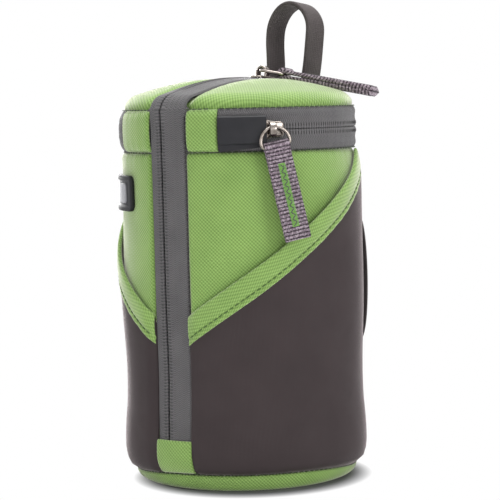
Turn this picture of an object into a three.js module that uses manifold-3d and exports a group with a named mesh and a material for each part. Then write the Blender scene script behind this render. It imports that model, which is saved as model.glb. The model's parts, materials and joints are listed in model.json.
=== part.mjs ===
// Padded lens pouch: a soft round case with a zipped lid, a long side zip and two stretch pockets.
// Millimetres, +Z up. The origin is the middle of the base. The side zip faces -Y and the belt loop +Y.
// Angles round the pouch are in degrees from the side zip, growing towards +X.

import * as THREE from 'three';
import { mergeVertices } from 'three/addons/utils/BufferGeometryUtils.js';
import Module from 'manifold-3d';

const wasm = await Module();
wasm.setup();

// Clearances
const SEAM_GAP = 0.3; // between pieces that are sewn or pressed together
const SLIDE_GAP = 0.6; // between a zip slider and the zip it runs on

// Wall and base
const WALL_RADIUS = 54; // outside of the wall's cover
const BAND_BOTTOM = 149.7; // height of the seam under the zip band
const COVER_THICKNESS = 1.2;
const FOAM_THICKNESS = 6.2;
const FOAM_EDGE = 2.2; // padding left where it is sewn to the base
const LINING_THICKNESS = 1;
const BASE_RADIUS = 51;
const BASE_HEIGHT = 7.4;
const BASE_CORNER = 4.5; // radius of the cup's lower edge
const BASE_THICKNESS = 1.6;
const BASE_PAD = 6.7;
const TUCK_HEIGHT = 10; // wall rolls in to the base over this height

// Zip band and lid
const BAND_HEIGHT = 18.6;
const DOME_RISE = 13.9; // crest of the lid over the band
const DOME_RADIUS = 150;
const SHOULDER_RADIUS = 10;

// Zips
const TAPE_THICKNESS = 1;
const TAPE_INSET = 0.2; // tape lies this far below the cover
const TAPE_LEFT = 7; // seen width of the side zip's tapes
const TAPE_RIGHT = 12.5;
const ZIP_SLIT = 1.2; // between the two halves of a closed zip
const COIL_WIDTH = 2.8;
const COIL_THICKNESS = 1.4;
const COIL_PITCH = 5;
const COIL_TOOTH = 1; // depth of the coil's teeth
const ZIP_CHANNEL = 5.4; // half width of the slot in the padding behind a zip
const TOP_ZIP_START = 30; // where the rim zip begins and ends
const TOP_ZIP_END = 326;
const END_TAB_HEIGHT = 15;
const END_TAB_THICKNESS = 1.2;

// Pockets
const POCKET_THICKNESS = 1.4;
const POCKET_FRONT = 77.7; // height of a pocket's edge at the side zip
const POCKET_SLOPE = 0.7; // rise of the edge for each millimetre round the wall
const POCKET_BULGE = 1.2;
const BULGE_HEIGHT = 44;
const BINDING_WIDTH = 12.3; // measured upright
const BINDING_THICKNESS = 0.7;

// Badge
const BADGE_ANGLE = -41;
const BADGE_HEIGHT_ABOVE_BASE = 129.7;
const BADGE_WIDTH = 36;
const BADGE_HEIGHT = 16;
const BADGE_THICKNESS = 1.6;
const BADGE_CORNER = 3;
const PLATE_WIDTH = 22;
const PLATE_HEIGHT = 9;
const PLATE_THICKNESS = 0.7;
const PLATE_CORNER = 1.6;

// Belt loop
const BELT_LOOP_WIDTH = 45;
const BELT_LOOP_BOTTOM = 51.7;
const BELT_LOOP_HEIGHT = 69;
const BELT_LOOP_THICKNESS = 1.4;
const BELT_GAP = 5.5; // room for a belt behind the loop
const BELT_SEWN_TOP = 14;
const BELT_SEWN_BOTTOM = 8;
const BELT_BEND = 11; // height over which the loop leaves the wall

// Zip garage
const GARAGE_LENGTH = 20.5; // round the wall
const GARAGE_HEIGHT = 12.4; // of its raised roof
const GARAGE_RISE = 2.1;
const GARAGE_END_RISE = 0.7; // at its sewn end
const GARAGE_FLANGE = 3; // under the roof at its sewn end
const GARAGE_FLANGE_END = 0.5; // at its mouth
const GARAGE_THICKNESS = 0.9;

// Grab loop
const LOOP_WIDTH = 12.4;
const LOOP_SPAN = 26; // outside, from leg to leg
const LOOP_HEIGHT = 40.3;
const LOOP_PINCH = 1.7; // how far each leg leans in at its foot
const LOOP_THICKNESS = 2;
const LOOP_X = 2.75;
const LOOP_Y = 37.5;
const LOOP_LEAN = 6;

// Sliders and pulls
const TOP_SLIDER_ANGLE = 54;
const SIDE_SLIDER_Y = 18;
const SLIDER_LENGTH = 12;
const SLIDER_NOSE = 9.4;
const SLIDER_TAIL = 7;
const SLIDER_PLATE = 1.2;
const SLIDER_INNER_LENGTH = 10;
const SLIDER_INNER_WIDTH = 5.2;
const SLIDER_POST = 0.6;
const SLIDER_POST_LENGTH = 4;
const BRIDGE_LENGTH = 3;
const BRIDGE_THICKNESS = 1.2;
const RING_WIRE = 1.6;
const RING_LENGTH = 9.2;
const RING_CORNER = 1.8;
const PIVOT_HEIGHT = 4.6; // ring's wire over the zip tape
const RING_PLAY = 0.55;
const PULL_WIDTH = 11.2;
const PULL_LENGTH = 41;
const PULL_THICKNESS = 2.2;
const PULL_EYE = 2;
const TOP_PULL_SWING = 11; // lean of the hanging pull
const TOP_PULL_LIFT = 4.9; // how far it stands out from the wall
const SIDE_PULL_SWING = 202;
const SIDE_PULL_DROOP = 9;
const SIDE_PULL_TILT = 3.5; // its near edge hangs lower, by the ring's play in the bridge

// Facets
const ROUND_STEP = 7.2; // degrees for each facet round the wall
const BASE_FACETS = 40;
const LID_FACETS = 36;
const ARC_STEPS = 4; // facets for each small bend
const TUCK_STEPS = 3;
const FLAT_STEPS = 3; // facets each side of the middle of a wide strip
const LOOP_STEPS = 12;
const RING_STEPS = 27;
const RING_SIDES = 7;
const BELT_STEPS = 16;
const MERGE_DISTANCE = 1e-4; // corners closer than this are one

// Derived heights and radii
const BAND_TOP = BAND_BOTTOM + BAND_HEIGHT;
const ZIP_LINE = BAND_BOTTOM + BAND_HEIGHT / 2;
const LID_RIM = BAND_TOP + SEAM_GAP;
const DOME_CENTRE = BAND_TOP + DOME_RISE - DOME_RADIUS;
const WALL_BOTTOM = BASE_HEIGHT + SEAM_GAP;
const COVER_INNER = WALL_RADIUS - COVER_THICKNESS;
const FOAM_OUTER = COVER_INNER - SEAM_GAP;
const FOAM_INNER = FOAM_OUTER - FOAM_THICKNESS;
const LINING_OUTER = FOAM_INNER - SEAM_GAP;
const LINING_INNER = LINING_OUTER - LINING_THICKNESS;
const TAPE_OUTER = WALL_RADIUS - TAPE_INSET;
const TAPE_INNER = TAPE_OUTER - TAPE_THICKNESS;
const COIL_OUTER = TAPE_INNER - SEAM_GAP;
const COIL_INNER = COIL_OUTER - COIL_THICKNESS;
const POCKET_INNER = WALL_RADIUS + SEAM_GAP;
const POCKET_OUTER = POCKET_INNER + POCKET_THICKNESS;
const PAD_TOP = BASE_THICKNESS + SEAM_GAP + BASE_PAD;
const BELT_LOOP_TOP = BELT_LOOP_BOTTOM + BELT_LOOP_HEIGHT;
const TUCK = POCKET_OUTER - BASE_RADIUS; // brings the pockets' lower edge in to the base
const FOAM_FOOT = FOAM_OUTER - TUCK - FOAM_EDGE; // inside of the padding's lower edge

// Colours and finishes
const GREEN = { color: 0x8bb05e, roughness: 0.75, metalness: 0 };
const CHARCOAL = { color: 0x463e3e, roughness: 0.7, metalness: 0 };
const TAPE_GREY = { color: 0x696668, roughness: 0.8, metalness: 0 };
const COIL_GREY = { color: 0x3c3b3d, roughness: 0.5, metalness: 0 };
const LINING_GREY = { color: 0xa9abad, roughness: 0.85, metalness: 0 };
const FOAM_WHITE = { color: 0xd8d6d0, roughness: 0.9, metalness: 0 };
const RUBBER = { color: 0x2c2c2e, roughness: 0.6, metalness: 0 };
const WEBBING = { color: 0x7d707a, roughness: 0.85, metalness: 0 };
const DARK_WEBBING = { color: 0x48423f, roughness: 0.85, metalness: 0 };
const NICKEL = { color: 0xc4c4c6, roughness: 0.25, metalness: 1 };

const pouch = new THREE.Group();

function add(name, geometry, finish, parent = pouch) {
  const mesh = new THREE.Mesh(geometry, new THREE.MeshStandardMaterial(finish));
  mesh.name = name;
  parent.add(mesh);
  return mesh;
}

const radians = THREE.MathUtils.degToRad;
const arcDegrees = (length, radius = WALL_RADIUS) => THREE.MathUtils.radToDeg(length / radius);

// Closed bodies

function bodyFrom(points, faces) {
  const geometry = new THREE.BufferGeometry();
  const turned = volumeOf(points, faces) < 0 ? faces.map(([a, b, c]) => [a, c, b]) : faces;
  geometry.setAttribute('position', new THREE.Float32BufferAttribute(points.flat(), 3));
  geometry.setIndex(turned.flat());
  return geometry;
}

function volumeOf(points, faces) {
  let sum = 0;
  for (const [a, b, c] of faces) {
    const [p, q, r] = [points[a], points[b], points[c]];
    sum += p[0] * (q[1] * r[2] - q[2] * r[1]);
    sum += p[1] * (q[2] * r[0] - q[0] * r[2]);
    sum += p[2] * (q[0] * r[1] - q[1] * r[0]);
  }
  return sum / 6;
}

// Joins a row of sections, each a list of points, into a closed loop, or into a body with flat ends that
// are filled by the triangles listed for its first and its last section.
function loft(sections, ends = null) {
  const size = sections[0].length;
  const faces = [];
  const joins = ends ? sections.length - 1 : sections.length;
  for (let row = 0; row < joins; row++) {
    const next = (row + 1) % sections.length;
    for (let i = 0; i < size; i++) {
      const j = (i + 1) % size;
      faces.push([row * size + i, row * size + j, next * size + j]);
      faces.push([row * size + i, next * size + j, next * size + i]);
    }
  }
  if (ends) {
    const last = (sections.length - 1) * size;
    faces.push(...ends[0].map(([a, b, c]) => [a, c, b]));
    faces.push(...ends[1].map(([a, b, c]) => [last + a, last + b, last + c]));
  }
  return bodyFrom(sections.flat(), faces);
}

// Fills an outline with triangles that turn the same way as the outline.
function triangles(outline) {
  const points = outline.map(([x, y]) => new THREE.Vector2(x, y));
  const filled = THREE.ShapeUtils.triangulateShape(points, []);
  return THREE.ShapeUtils.isClockWise(points) ? filled.map(([a, b, c]) => [a, c, b]) : filled;
}

const roundPoint = (radius, angle, height) => [
  radius * Math.sin(radians(angle)), -radius * Math.cos(radians(angle)), height,
];

// Carries a section, given as radius and height, round the pouch through the listed angles.
function sweep(section, angles) {
  const outlines = angles.map(section);
  const sections = outlines.map((outline, i) => outline.map(([r, z]) => roundPoint(r, angles[i], z)));
  return loft(sections, [triangles(outlines[0]), triangles(outlines.at(-1))]);
}

function spread(from, to, step = ROUND_STEP) {
  const count = Math.max(1, Math.ceil(Math.abs(to - from) / step));
  return Array.from({ length: count + 1 }, (_, i) => from + ((to - from) * i) / count);
}

const rectangle = (r0, r1, z0, z1) => [[r0, z0], [r1, z0], [r1, z1], [r0, z1]];

const ring = (r0, r1, z0, z1, from, to) => sweep(() => rectangle(r0, r1, z0, z1), spread(from, to));

// Turns a closed outline of radius and height once round the pouch.
function revolve(outline, facets) {
  const geometry = new THREE.LatheGeometry(outline.map(([r, z]) => new THREE.Vector2(r, z)), facets);
  geometry.rotateX(Math.PI / 2);
  return sealed(geometry);
}

// Merges shared corners and drops the faces that shrink to a line on the axis.
function sealed(geometry) {
  const bare = geometry.clone();
  bare.deleteAttribute('normal');
  bare.deleteAttribute('uv');
  const merged = mergeVertices(bare, MERGE_DISTANCE);
  const { array } = merged.getAttribute('position');
  const index = merged.getIndex().array;
  const corner = (_, i) => Array.from(array.slice(3 * i, 3 * i + 3));
  const points = Array.from({ length: array.length / 3 }, corner);
  const faces = [];
  for (let i = 0; i < index.length; i += 3) {
    const [a, b, c] = [index[i], index[i + 1], index[i + 2]];
    if (a !== b && b !== c && c !== a) faces.push([a, b, c]);
  }
  return bodyFrom(points, faces);
}

function toSolid(geometry) {
  const closed = sealed(geometry);
  const vertProperties = new Float32Array(closed.getAttribute('position').array);
  const triVerts = new Uint32Array(closed.getIndex().array);
  return new wasm.Manifold(new wasm.Mesh({ numProp: 3, vertProperties, triVerts }));
}

function toGeometry(solid) {
  const mesh = solid.getMesh();
  const geometry = new THREE.BufferGeometry();
  geometry.setAttribute('position', new THREE.BufferAttribute(mesh.vertProperties, 3));
  geometry.setIndex(new THREE.BufferAttribute(mesh.triVerts, 1));
  return geometry;
}

const join = (first, ...others) =>
  toGeometry(others.reduce((solid, other) => solid.add(toSolid(other)), toSolid(first)));
const cut = (body, tool) => toGeometry(toSolid(body).subtract(toSolid(tool)));
const common = (body, tool) => toGeometry(toSolid(body).intersect(toSolid(tool)));

function block(x0, x1, y0, y1, z0, z1) {
  const box = new THREE.BoxGeometry(x1 - x0, y1 - y0, z1 - z0);
  return box.translate((x0 + x1) / 2, (y0 + y1) / 2, (z0 + z1) / 2);
}

// Extrudes an outline drawn in the Y-Z plane along X, centred on X.
function extrudeAcross(shape, width) {
  const geometry = new THREE.ExtrudeGeometry(shape, {
    depth: width, bevelEnabled: false, curveSegments: ARC_STEPS,
  });
  geometry.translate(0, 0, -width / 2);
  const axes = [new THREE.Vector3(0, 1, 0), new THREE.Vector3(0, 0, 1), new THREE.Vector3(1, 0, 0)];
  return geometry.applyMatrix4(new THREE.Matrix4().makeBasis(...axes));
}

// Base: a cup, its pad and the lining on the pad

function cupOutline(inset) {
  const corner = BASE_CORNER - inset;
  const centre = [BASE_RADIUS - BASE_CORNER, BASE_CORNER];
  const bend = spread(180, 90, 90 / ARC_STEPS).map((angle) => [
    centre[0] + corner * Math.sin(radians(angle)), centre[1] + corner * Math.cos(radians(angle)),
  ]);
  return [[0, inset], ...bend, [BASE_RADIUS - inset, BASE_HEIGHT]];
}

add('base_panel', revolve([...cupOutline(0), ...cupOutline(BASE_THICKNESS).reverse()], BASE_FACETS), GREEN);

const padEdge = Math.min(FOAM_FOOT, BASE_RADIUS - BASE_CORNER) - SEAM_GAP;
const padOutline = [
  [0, BASE_THICKNESS + SEAM_GAP], [padEdge, BASE_THICKNESS + SEAM_GAP], [padEdge, PAD_TOP], [0, PAD_TOP],
];
add('base_foam', revolve(padOutline, BASE_FACETS), FOAM_WHITE);

const floorBottom = PAD_TOP + SEAM_GAP;
const floorEdge = LINING_INNER - SEAM_GAP;
const floorOutline = [
  [0, floorBottom], [floorEdge, floorBottom],
  [floorEdge, floorBottom + LINING_THICKNESS], [0, floorBottom + LINING_THICKNESS],
];
add('base_lining', revolve(floorOutline, BASE_FACETS), LINING_GREY);

// Wall: cover, padding, lining and the tape on the top edge, all open at the side zip

const rightOfTape = arcDegrees(TAPE_RIGHT + SEAM_GAP);
const leftOfTape = arcDegrees(TAPE_LEFT + SEAM_GAP);
const channel = arcDegrees(ZIP_CHANNEL);
const FOAM_TOP = BAND_BOTTOM - SEAM_GAP;

const coverSpan = [rightOfTape, 360 - leftOfTape];
const padSpan = [channel, 360 - channel];
const bindingTop = BAND_BOTTOM + LINING_THICKNESS;

// How far the wall has rolled in at a height, and the heights where that is measured.
function tuckAt(z) {
  const low = THREE.MathUtils.clamp(1 - (z - WALL_BOTTOM) / TUCK_HEIGHT, 0, 1);
  return TUCK * (1 - Math.sqrt(1 - low ** 2));
}

const tuckHeights = spread(0, 90, 90 / TUCK_STEPS)
  .map((angle) => WALL_BOTTOM + TUCK_HEIGHT * (1 - Math.cos(radians(angle))));

// One face of the wall as radius and height, from the base to a top.
const tuckedFace = (radius, top) => [...tuckHeights.map((z) => [radius - tuckAt(z), z]), [radius, top]];

const tuckedLayer = (r0, r1, top, from, to) =>
  sweep(() => [...tuckedFace(r1, top), ...tuckedFace(r0, top).reverse()], spread(from, to));

const foamOutline = [
  ...tuckedFace(FOAM_OUTER, FOAM_TOP), [FOAM_INNER, FOAM_TOP],
  [FOAM_INNER, floorBottom], [FOAM_FOOT, WALL_BOTTOM],
];
add('wall_cover', tuckedLayer(COVER_INNER, WALL_RADIUS, FOAM_TOP, ...coverSpan), GREEN);
add('wall_foam', sweep(() => foamOutline, spread(...padSpan)), FOAM_WHITE);
add('wall_lining', ring(LINING_INNER, LINING_OUTER, floorBottom, FOAM_TOP, ...padSpan), LINING_GREY);
add('rim_binding', ring(LINING_INNER, FOAM_OUTER, BAND_BOTTOM, bindingTop, ...padSpan), TAPE_GREY);

// Side zip on the wall

const slit = arcDegrees(ZIP_SLIT / 2, TAPE_OUTER);
const coilEdge = arcDegrees(ZIP_SLIT / 2 + COIL_WIDTH, COIL_OUTER);
const sides = [
  { side: 'left', sign: -1, tape: TAPE_LEFT, edge: -leftOfTape, far: -180 },
  { side: 'right', sign: 1, tape: TAPE_RIGHT, edge: rightOfTape, far: 180 },
];

for (const { side, sign, tape } of sides) {
  const tapeEdge = arcDegrees(tape);
  const strip = tuckedLayer(TAPE_INNER, TAPE_OUTER, BAND_TOP, sign * slit, sign * tapeEdge);
  const coil = tuckedLayer(COIL_INNER, COIL_OUTER, BAND_TOP, sign * slit, sign * coilEdge);
  add(`side_tape_${side}`, strip, TAPE_GREY);
  add(`side_coil_${side}`, coil, COIL_GREY);
}

const tabInner = WALL_RADIUS + SEAM_GAP;
const tabSpan = [-arcDegrees(TAPE_LEFT), arcDegrees(TAPE_RIGHT)];
const tabTop = WALL_BOTTOM + END_TAB_HEIGHT;
add('side_end_tab', tuckedLayer(tabInner, tabInner + END_TAB_THICKNESS, tabTop, ...tabSpan), GREEN);

// Pockets: stretch cloth with a slanted edge, full at the bottom, and the tape along the edge

const pocketLimit = BAND_BOTTOM - SEAM_GAP - BINDING_THICKNESS - SEAM_GAP;
const edgeRun = (angle, start) => (Math.abs(angle - start) / 180) * Math.PI * WALL_RADIUS;
const pocketEdge = (angle, start) =>
  Math.min(pocketLimit, POCKET_FRONT + POCKET_SLOPE * edgeRun(angle, start));

function pocketSection(angle, start) {
  const top = pocketEdge(angle, start);
  const bulgeTop = WALL_BOTTOM + BULGE_HEIGHT;
  const bulgeHeights = spread(tuckHeights.at(-1), bulgeTop, BULGE_HEIGHT / ARC_STEPS).slice(1);
  const heights = [...tuckHeights, ...bulgeHeights];
  const swell = (z) => POCKET_BULGE * Math.sin((Math.PI * (z - WALL_BOTTOM)) / BULGE_HEIGHT);
  const bulge = (z) => swell(z) - tuckAt(z);
  const face = (radius) => [...heights.map((z) => [radius + bulge(z), z]), [radius, top]];
  return [...face(POCKET_OUTER), ...face(POCKET_INNER).reverse()];
}

// An angle section of tape: its wide leg lies on the pocket, its lip covers the pocket's edge.
function bindingSection(angle, start) {
  const top = pocketEdge(angle, start) + SEAM_GAP;
  const under = POCKET_OUTER + SEAM_GAP;
  const over = under + BINDING_THICKNESS;
  const bottom = top + BINDING_THICKNESS - BINDING_WIDTH;
  return [
    [POCKET_INNER, top], [POCKET_INNER, top + BINDING_THICKNESS], [over, top + BINDING_THICKNESS],
    [over, bottom], [under, bottom], [under, top],
  ];
}

const BACK_SEAM = arcDegrees(SEAM_GAP / 2);
const bindingRun = arcDegrees((pocketLimit - POCKET_FRONT) / POCKET_SLOPE);

for (const { side, sign, edge, far } of sides) {
  const bindingAngles = spread(edge, edge + sign * bindingRun);
  const backAngles = spread(edge + sign * bindingRun, far - sign * BACK_SEAM).slice(1);
  const pocketAngles = [...bindingAngles, ...backAngles];
  add(`pocket_${side}`, sweep((angle) => pocketSection(angle, edge), pocketAngles), CHARCOAL);
  add(`pocket_binding_${side}`, sweep((angle) => bindingSection(angle, edge), bindingAngles), GREEN);
}

// Zip band: green cloth at the fold, the rim zip round the rest

const foldRight = TOP_ZIP_START - arcDegrees(SEAM_GAP);
const foldLeft = TOP_ZIP_END - 360 + arcDegrees(SEAM_GAP);
const foldCloth = (from, to) => ring(COVER_INNER, WALL_RADIUS, BAND_BOTTOM, BAND_TOP, from, to);
add('hinge_band_right', foldCloth(rightOfTape, foldRight), GREEN);
add('hinge_band_left', foldCloth(foldLeft, -leftOfTape), GREEN);

const lowerEdge = ZIP_LINE - ZIP_SLIT / 2;
const upperEdge = ZIP_LINE + ZIP_SLIT / 2;
const rimTape = (low, high) => ring(TAPE_INNER, TAPE_OUTER, low, high, TOP_ZIP_START, TOP_ZIP_END);
add('top_tape_lower', rimTape(BAND_BOTTOM, lowerEdge), TAPE_GREY);
add('top_tape_upper', rimTape(upperEdge, BAND_TOP), TAPE_GREY);

// A coil's edge is a row of pointed teeth: every second angle of the sweep stands at a tooth's tip.
function coilRow(tip, back, firstIsTip) {
  const half = arcDegrees(COIL_PITCH / 2, COIL_INNER);
  const inward = Math.sign(back - tip) * COIL_TOOTH;
  const angles = spread(TOP_ZIP_START, TOP_ZIP_END, half);
  const isTip = new Map(angles.map((angle, i) => [angle, (i % 2 === 0) === firstIsTip]));
  return sweep((angle) => {
    const point = isTip.get(angle) ? tip : tip + inward;
    return [[COIL_INNER, point], [COIL_OUTER, point], [COIL_OUTER, back], [COIL_INNER, back]];
  }, angles);
}

add('top_coil_lower', coilRow(lowerEdge, lowerEdge - COIL_WIDTH, true), COIL_GREY);
add('top_coil_upper', coilRow(upperEdge, upperEdge + COIL_WIDTH, false), COIL_GREY);

// Zip garage: a hood that rises from its sewn end to an open mouth over the closed slider

function garageSection(angle) {
  const along = (angle - TOP_ZIP_START) / arcDegrees(GARAGE_LENGTH);
  const rise = THREE.MathUtils.lerp(GARAGE_END_RISE, GARAGE_RISE, Math.sin((along * Math.PI) / 2));
  const foot = WALL_RADIUS + SEAM_GAP;
  const flange = THREE.MathUtils.lerp(GARAGE_FLANGE, GARAGE_FLANGE_END, along);
  const roof = spread(-1, 1, 1 / ARC_STEPS)
    .map((t) => [rise * Math.sqrt(1 - t ** 4), (t * GARAGE_HEIGHT) / 2]);
  const arch = [[0, -GARAGE_HEIGHT / 2 - flange], ...roof];
  const inner = arch.map(([up, z]) => [foot + up, ZIP_LINE + z]);
  const outer = arch.map(([up, z]) => [foot + up + GARAGE_THICKNESS, ZIP_LINE + z]);
  return [...inner, ...outer.reverse()];
}

const garageAngles = spread(TOP_ZIP_START, TOP_ZIP_START + arcDegrees(GARAGE_LENGTH), ROUND_STEP / 2);
add('zip_garage', sweep(garageSection, garageAngles), RUBBER);

// Badge: a rubber patch with round corners and a bare plate on it

function roundedPatch(radius, thickness, width, height, corner) {
  const half = width / 2;
  const end = spread(0, 90, 90 / ARC_STEPS)
    .map((angle) => half - corner + corner * Math.sin(radians(angle)));
  const straight = spread(corner - half, half - corner, (half - corner) / FLAT_STEPS).slice(1, -1);
  const stations = [...end.map((s) => -s).reverse(), ...straight, ...end];
  const section = (angle) => {
    const past = Math.max(0, Math.abs(angle - BADGE_ANGLE) / arcDegrees(1, radius) - (half - corner));
    const upright = Math.sqrt(Math.max(0, corner ** 2 - past ** 2));
    const reach = height / 2 - corner + upright;
    const middle = BADGE_HEIGHT_ABOVE_BASE;
    return rectangle(radius, radius + thickness, middle - reach, middle + reach);
  };
  return sweep(section, stations.map((s) => BADGE_ANGLE + arcDegrees(s, radius)));
}

const patchRadius = WALL_RADIUS + SEAM_GAP;
const plateRadius = patchRadius + BADGE_THICKNESS + SEAM_GAP;
const patch = roundedPatch(patchRadius, BADGE_THICKNESS, BADGE_WIDTH, BADGE_HEIGHT, BADGE_CORNER);
const plate = roundedPatch(plateRadius, PLATE_THICKNESS, PLATE_WIDTH, PLATE_HEIGHT, PLATE_CORNER);
add('badge_patch', patch, RUBBER);
add('badge_plate', plate, NICKEL);

// Belt loop: webbing that follows the wall where it is sewn and stands off flat between

function beltLoopSection(z) {
  const sewn = POCKET_OUTER + SEAM_GAP;
  const bottom = BELT_LOOP_BOTTOM + BELT_SEWN_BOTTOM;
  const top = BELT_LOOP_TOP - BELT_SEWN_TOP;
  const up = THREE.MathUtils.smoothstep(z, bottom, bottom + BELT_BEND);
  const down = 1 - THREE.MathUtils.smoothstep(z, top - BELT_BEND, top);
  const off = Math.min(up, down);
  const inner = spread(-1, 1, 1 / FLAT_STEPS).map((t) => {
    const x = (t * BELT_LOOP_WIDTH) / 2;
    const onWall = Math.sqrt(sewn ** 2 - x ** 2);
    return [x, THREE.MathUtils.lerp(onWall, POCKET_OUTER + BELT_GAP, off), z];
  });
  const outer = inner.map(([x, y]) => [x, y + BELT_LOOP_THICKNESS, z]);
  return [...inner, ...outer.reverse()];
}

const beltHeights = spread(BELT_LOOP_BOTTOM, BELT_LOOP_TOP, BELT_LOOP_HEIGHT / BELT_STEPS);
const beltSections = beltHeights.map(beltLoopSection);
const beltEnds = [triangles(beltSections[0]), triangles(beltSections.at(-1))];
add('belt_loop', loft(beltSections, beltEnds), DARK_WEBBING);

// Lid: everything follows one dome with a round shoulder, measured by its depth under the outer face

const shoulderX = WALL_RADIUS - SHOULDER_RADIUS;
const shoulderZ = DOME_CENTRE + Math.sqrt((DOME_RADIUS - SHOULDER_RADIUS) ** 2 - shoulderX ** 2);
const shoulderTilt = Math.atan2(shoulderX, shoulderZ - DOME_CENTRE);

function domeOutline(depth, rim) {
  const dome = DOME_RADIUS - depth;
  const shoulder = SHOULDER_RADIUS - depth;
  const low = Math.acos(THREE.MathUtils.clamp((rim - shoulderZ) / shoulder, 0, 1));
  const top = spread(0, 1, 1 / ARC_STEPS).map((t) => [
    dome * Math.sin(t * shoulderTilt), DOME_CENTRE + dome * Math.cos(t * shoulderTilt),
  ]);
  const edge = spread(0, 1, 1 / ARC_STEPS).slice(1).map((t) => {
    const tilt = THREE.MathUtils.lerp(shoulderTilt, low, t);
    return [shoulderX + shoulder * Math.sin(tilt), shoulderZ + shoulder * Math.cos(tilt)];
  });
  return [...top, ...edge];
}

const domeLayer = (outerDepth, innerDepth) => revolve(
  [...domeOutline(outerDepth, LID_RIM), ...domeOutline(innerDepth, LID_RIM).reverse()], LID_FACETS);

const reach = WALL_RADIUS + COVER_THICKNESS;
const between = (x0, x1) => block(x0, x1, -reach, reach, BAND_BOTTOM, BAND_TOP + 2 * DOME_RISE);
const tapeDepth = TAPE_INSET + TAPE_THICKNESS;
const coilDepth = tapeDepth + SEAM_GAP;
const foamDepth = COVER_THICKNESS + SEAM_GAP;
const liningTop = LID_RIM + LINING_THICKNESS;
const foamBottom = liningTop + SEAM_GAP;
const padProfile = domeOutline(foamDepth, foamBottom);
const liningEdge = domeOutline(foamDepth, liningTop).at(-1)[0];

const lidCover = domeLayer(0, COVER_THICKNESS);
const lidTape = domeLayer(TAPE_INSET, tapeDepth);
const lidCoil = domeLayer(coilDepth, coilDepth + COIL_THICKNESS);
const lidPad = revolve([...padProfile, [0, foamBottom]], LID_FACETS);
const lidLining = revolve(
  [[0, LID_RIM], [liningEdge, LID_RIM], [liningEdge, liningTop], [0, liningTop]], LID_FACETS);

for (const { side, sign, tape } of sides) {
  const strip = (from, to) => between(Math.min(sign * from, sign * to), Math.max(sign * from, sign * to));
  add(`lid_panel_${side}`, common(lidCover, strip(tape + SEAM_GAP, reach)), GREEN);
  add(`lid_foam_${side}`, common(lidPad, strip(ZIP_CHANNEL, reach)), FOAM_WHITE);
  add(`lid_lining_${side}`, common(lidLining, strip(ZIP_CHANNEL, reach)), LINING_GREY);
  add(`lid_tape_${side}`, common(lidTape, strip(ZIP_SLIT / 2, tape)), TAPE_GREY);
  add(`lid_coil_${side}`, common(lidCoil, strip(ZIP_SLIT / 2, ZIP_SLIT / 2 + COIL_WIDTH)), COIL_GREY);
}

// Grab loop: a webbing arch across the side zip's end, its legs cut to the lid's dome

function archShape(span, height, thickness, pinch) {
  const outer = span / 2;
  const inner = outer - thickness;
  const turn = height - outer;
  const shape = new THREE.Shape();
  shape.moveTo(pinch - outer, -height);
  shape.lineTo(pinch - outer, 0);
  shape.quadraticCurveTo(-outer, turn / 2, -outer, turn);
  shape.absarc(0, turn, outer, Math.PI, 0, true);
  shape.quadraticCurveTo(outer, turn / 2, outer - pinch, 0);
  shape.lineTo(outer - pinch, -height);
  shape.lineTo(inner - pinch, -height);
  shape.lineTo(inner - pinch, 0);
  shape.quadraticCurveTo(inner, turn / 2, inner, turn);
  shape.absarc(0, turn, inner, 0, Math.PI, false);
  shape.quadraticCurveTo(-inner, turn / 2, pinch - inner, 0);
  shape.lineTo(pinch - inner, -height);
  return shape;
}

const loop = new THREE.ExtrudeGeometry(archShape(LOOP_SPAN, LOOP_HEIGHT, LOOP_THICKNESS, LOOP_PINCH), {
  depth: LOOP_WIDTH, bevelEnabled: false, curveSegments: LOOP_STEPS,
});
loop.translate(0, 0, -LOOP_WIDTH / 2).rotateX(Math.PI / 2 - radians(LOOP_LEAN));
const loopFoot = DOME_CENTRE + Math.sqrt(DOME_RADIUS ** 2 - LOOP_Y ** 2);
loop.translate(LOOP_X, LOOP_Y, loopFoot);
const underLoop = revolve([...domeOutline(-SEAM_GAP, LID_RIM), [0, LID_RIM]], LID_FACETS);
const loopBottom = loopFoot - DOME_RISE / 2;
const belowLid = block(-reach, reach, -2 * reach, 2 * reach, BAND_BOTTOM - LOOP_HEIGHT, loopBottom);
add('grab_loop', cut(cut(loop, underLoop), belowLid), DARK_WEBBING);

// Sliders: X runs along the zip, Y across it and Z out of it, with Z = 0 on the face of the tape

function taperedPlate(length, nose, tail, thickness) {
  const half = length / 2;
  const shape = new THREE.Shape();
  shape.moveTo(half, -tail / 4);
  shape.quadraticCurveTo(half, -tail / 2, half - tail / 4, -tail / 2);
  shape.lineTo(0, -tail / 2);
  shape.quadraticCurveTo(-half, -nose / 2, -half, -nose / 4);
  shape.lineTo(-half, nose / 4);
  shape.quadraticCurveTo(-half, nose / 2, 0, tail / 2);
  shape.lineTo(half - tail / 4, tail / 2);
  shape.quadraticCurveTo(half, tail / 2, half, tail / 4);
  return new THREE.ExtrudeGeometry(shape, {
    depth: thickness, bevelEnabled: false, curveSegments: ARC_STEPS,
  });
}

function bridgeShape(foot) {
  const inner = RING_WIRE / 2 + 2 * RING_PLAY + SEAM_GAP;
  const outer = inner + BRIDGE_THICKNESS;
  const middle = PIVOT_HEIGHT + RING_WIRE / 2 + RING_PLAY - inner;
  const shape = new THREE.Shape();
  shape.moveTo(-outer, foot);
  shape.lineTo(-outer, middle);
  shape.absarc(0, middle, outer, Math.PI, 0, true);
  shape.lineTo(outer, foot);
  shape.lineTo(inner, foot);
  shape.lineTo(inner, middle);
  shape.absarc(0, middle, inner, 0, Math.PI, false);
  shape.lineTo(-inner, foot);
  return shape;
}

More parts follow.
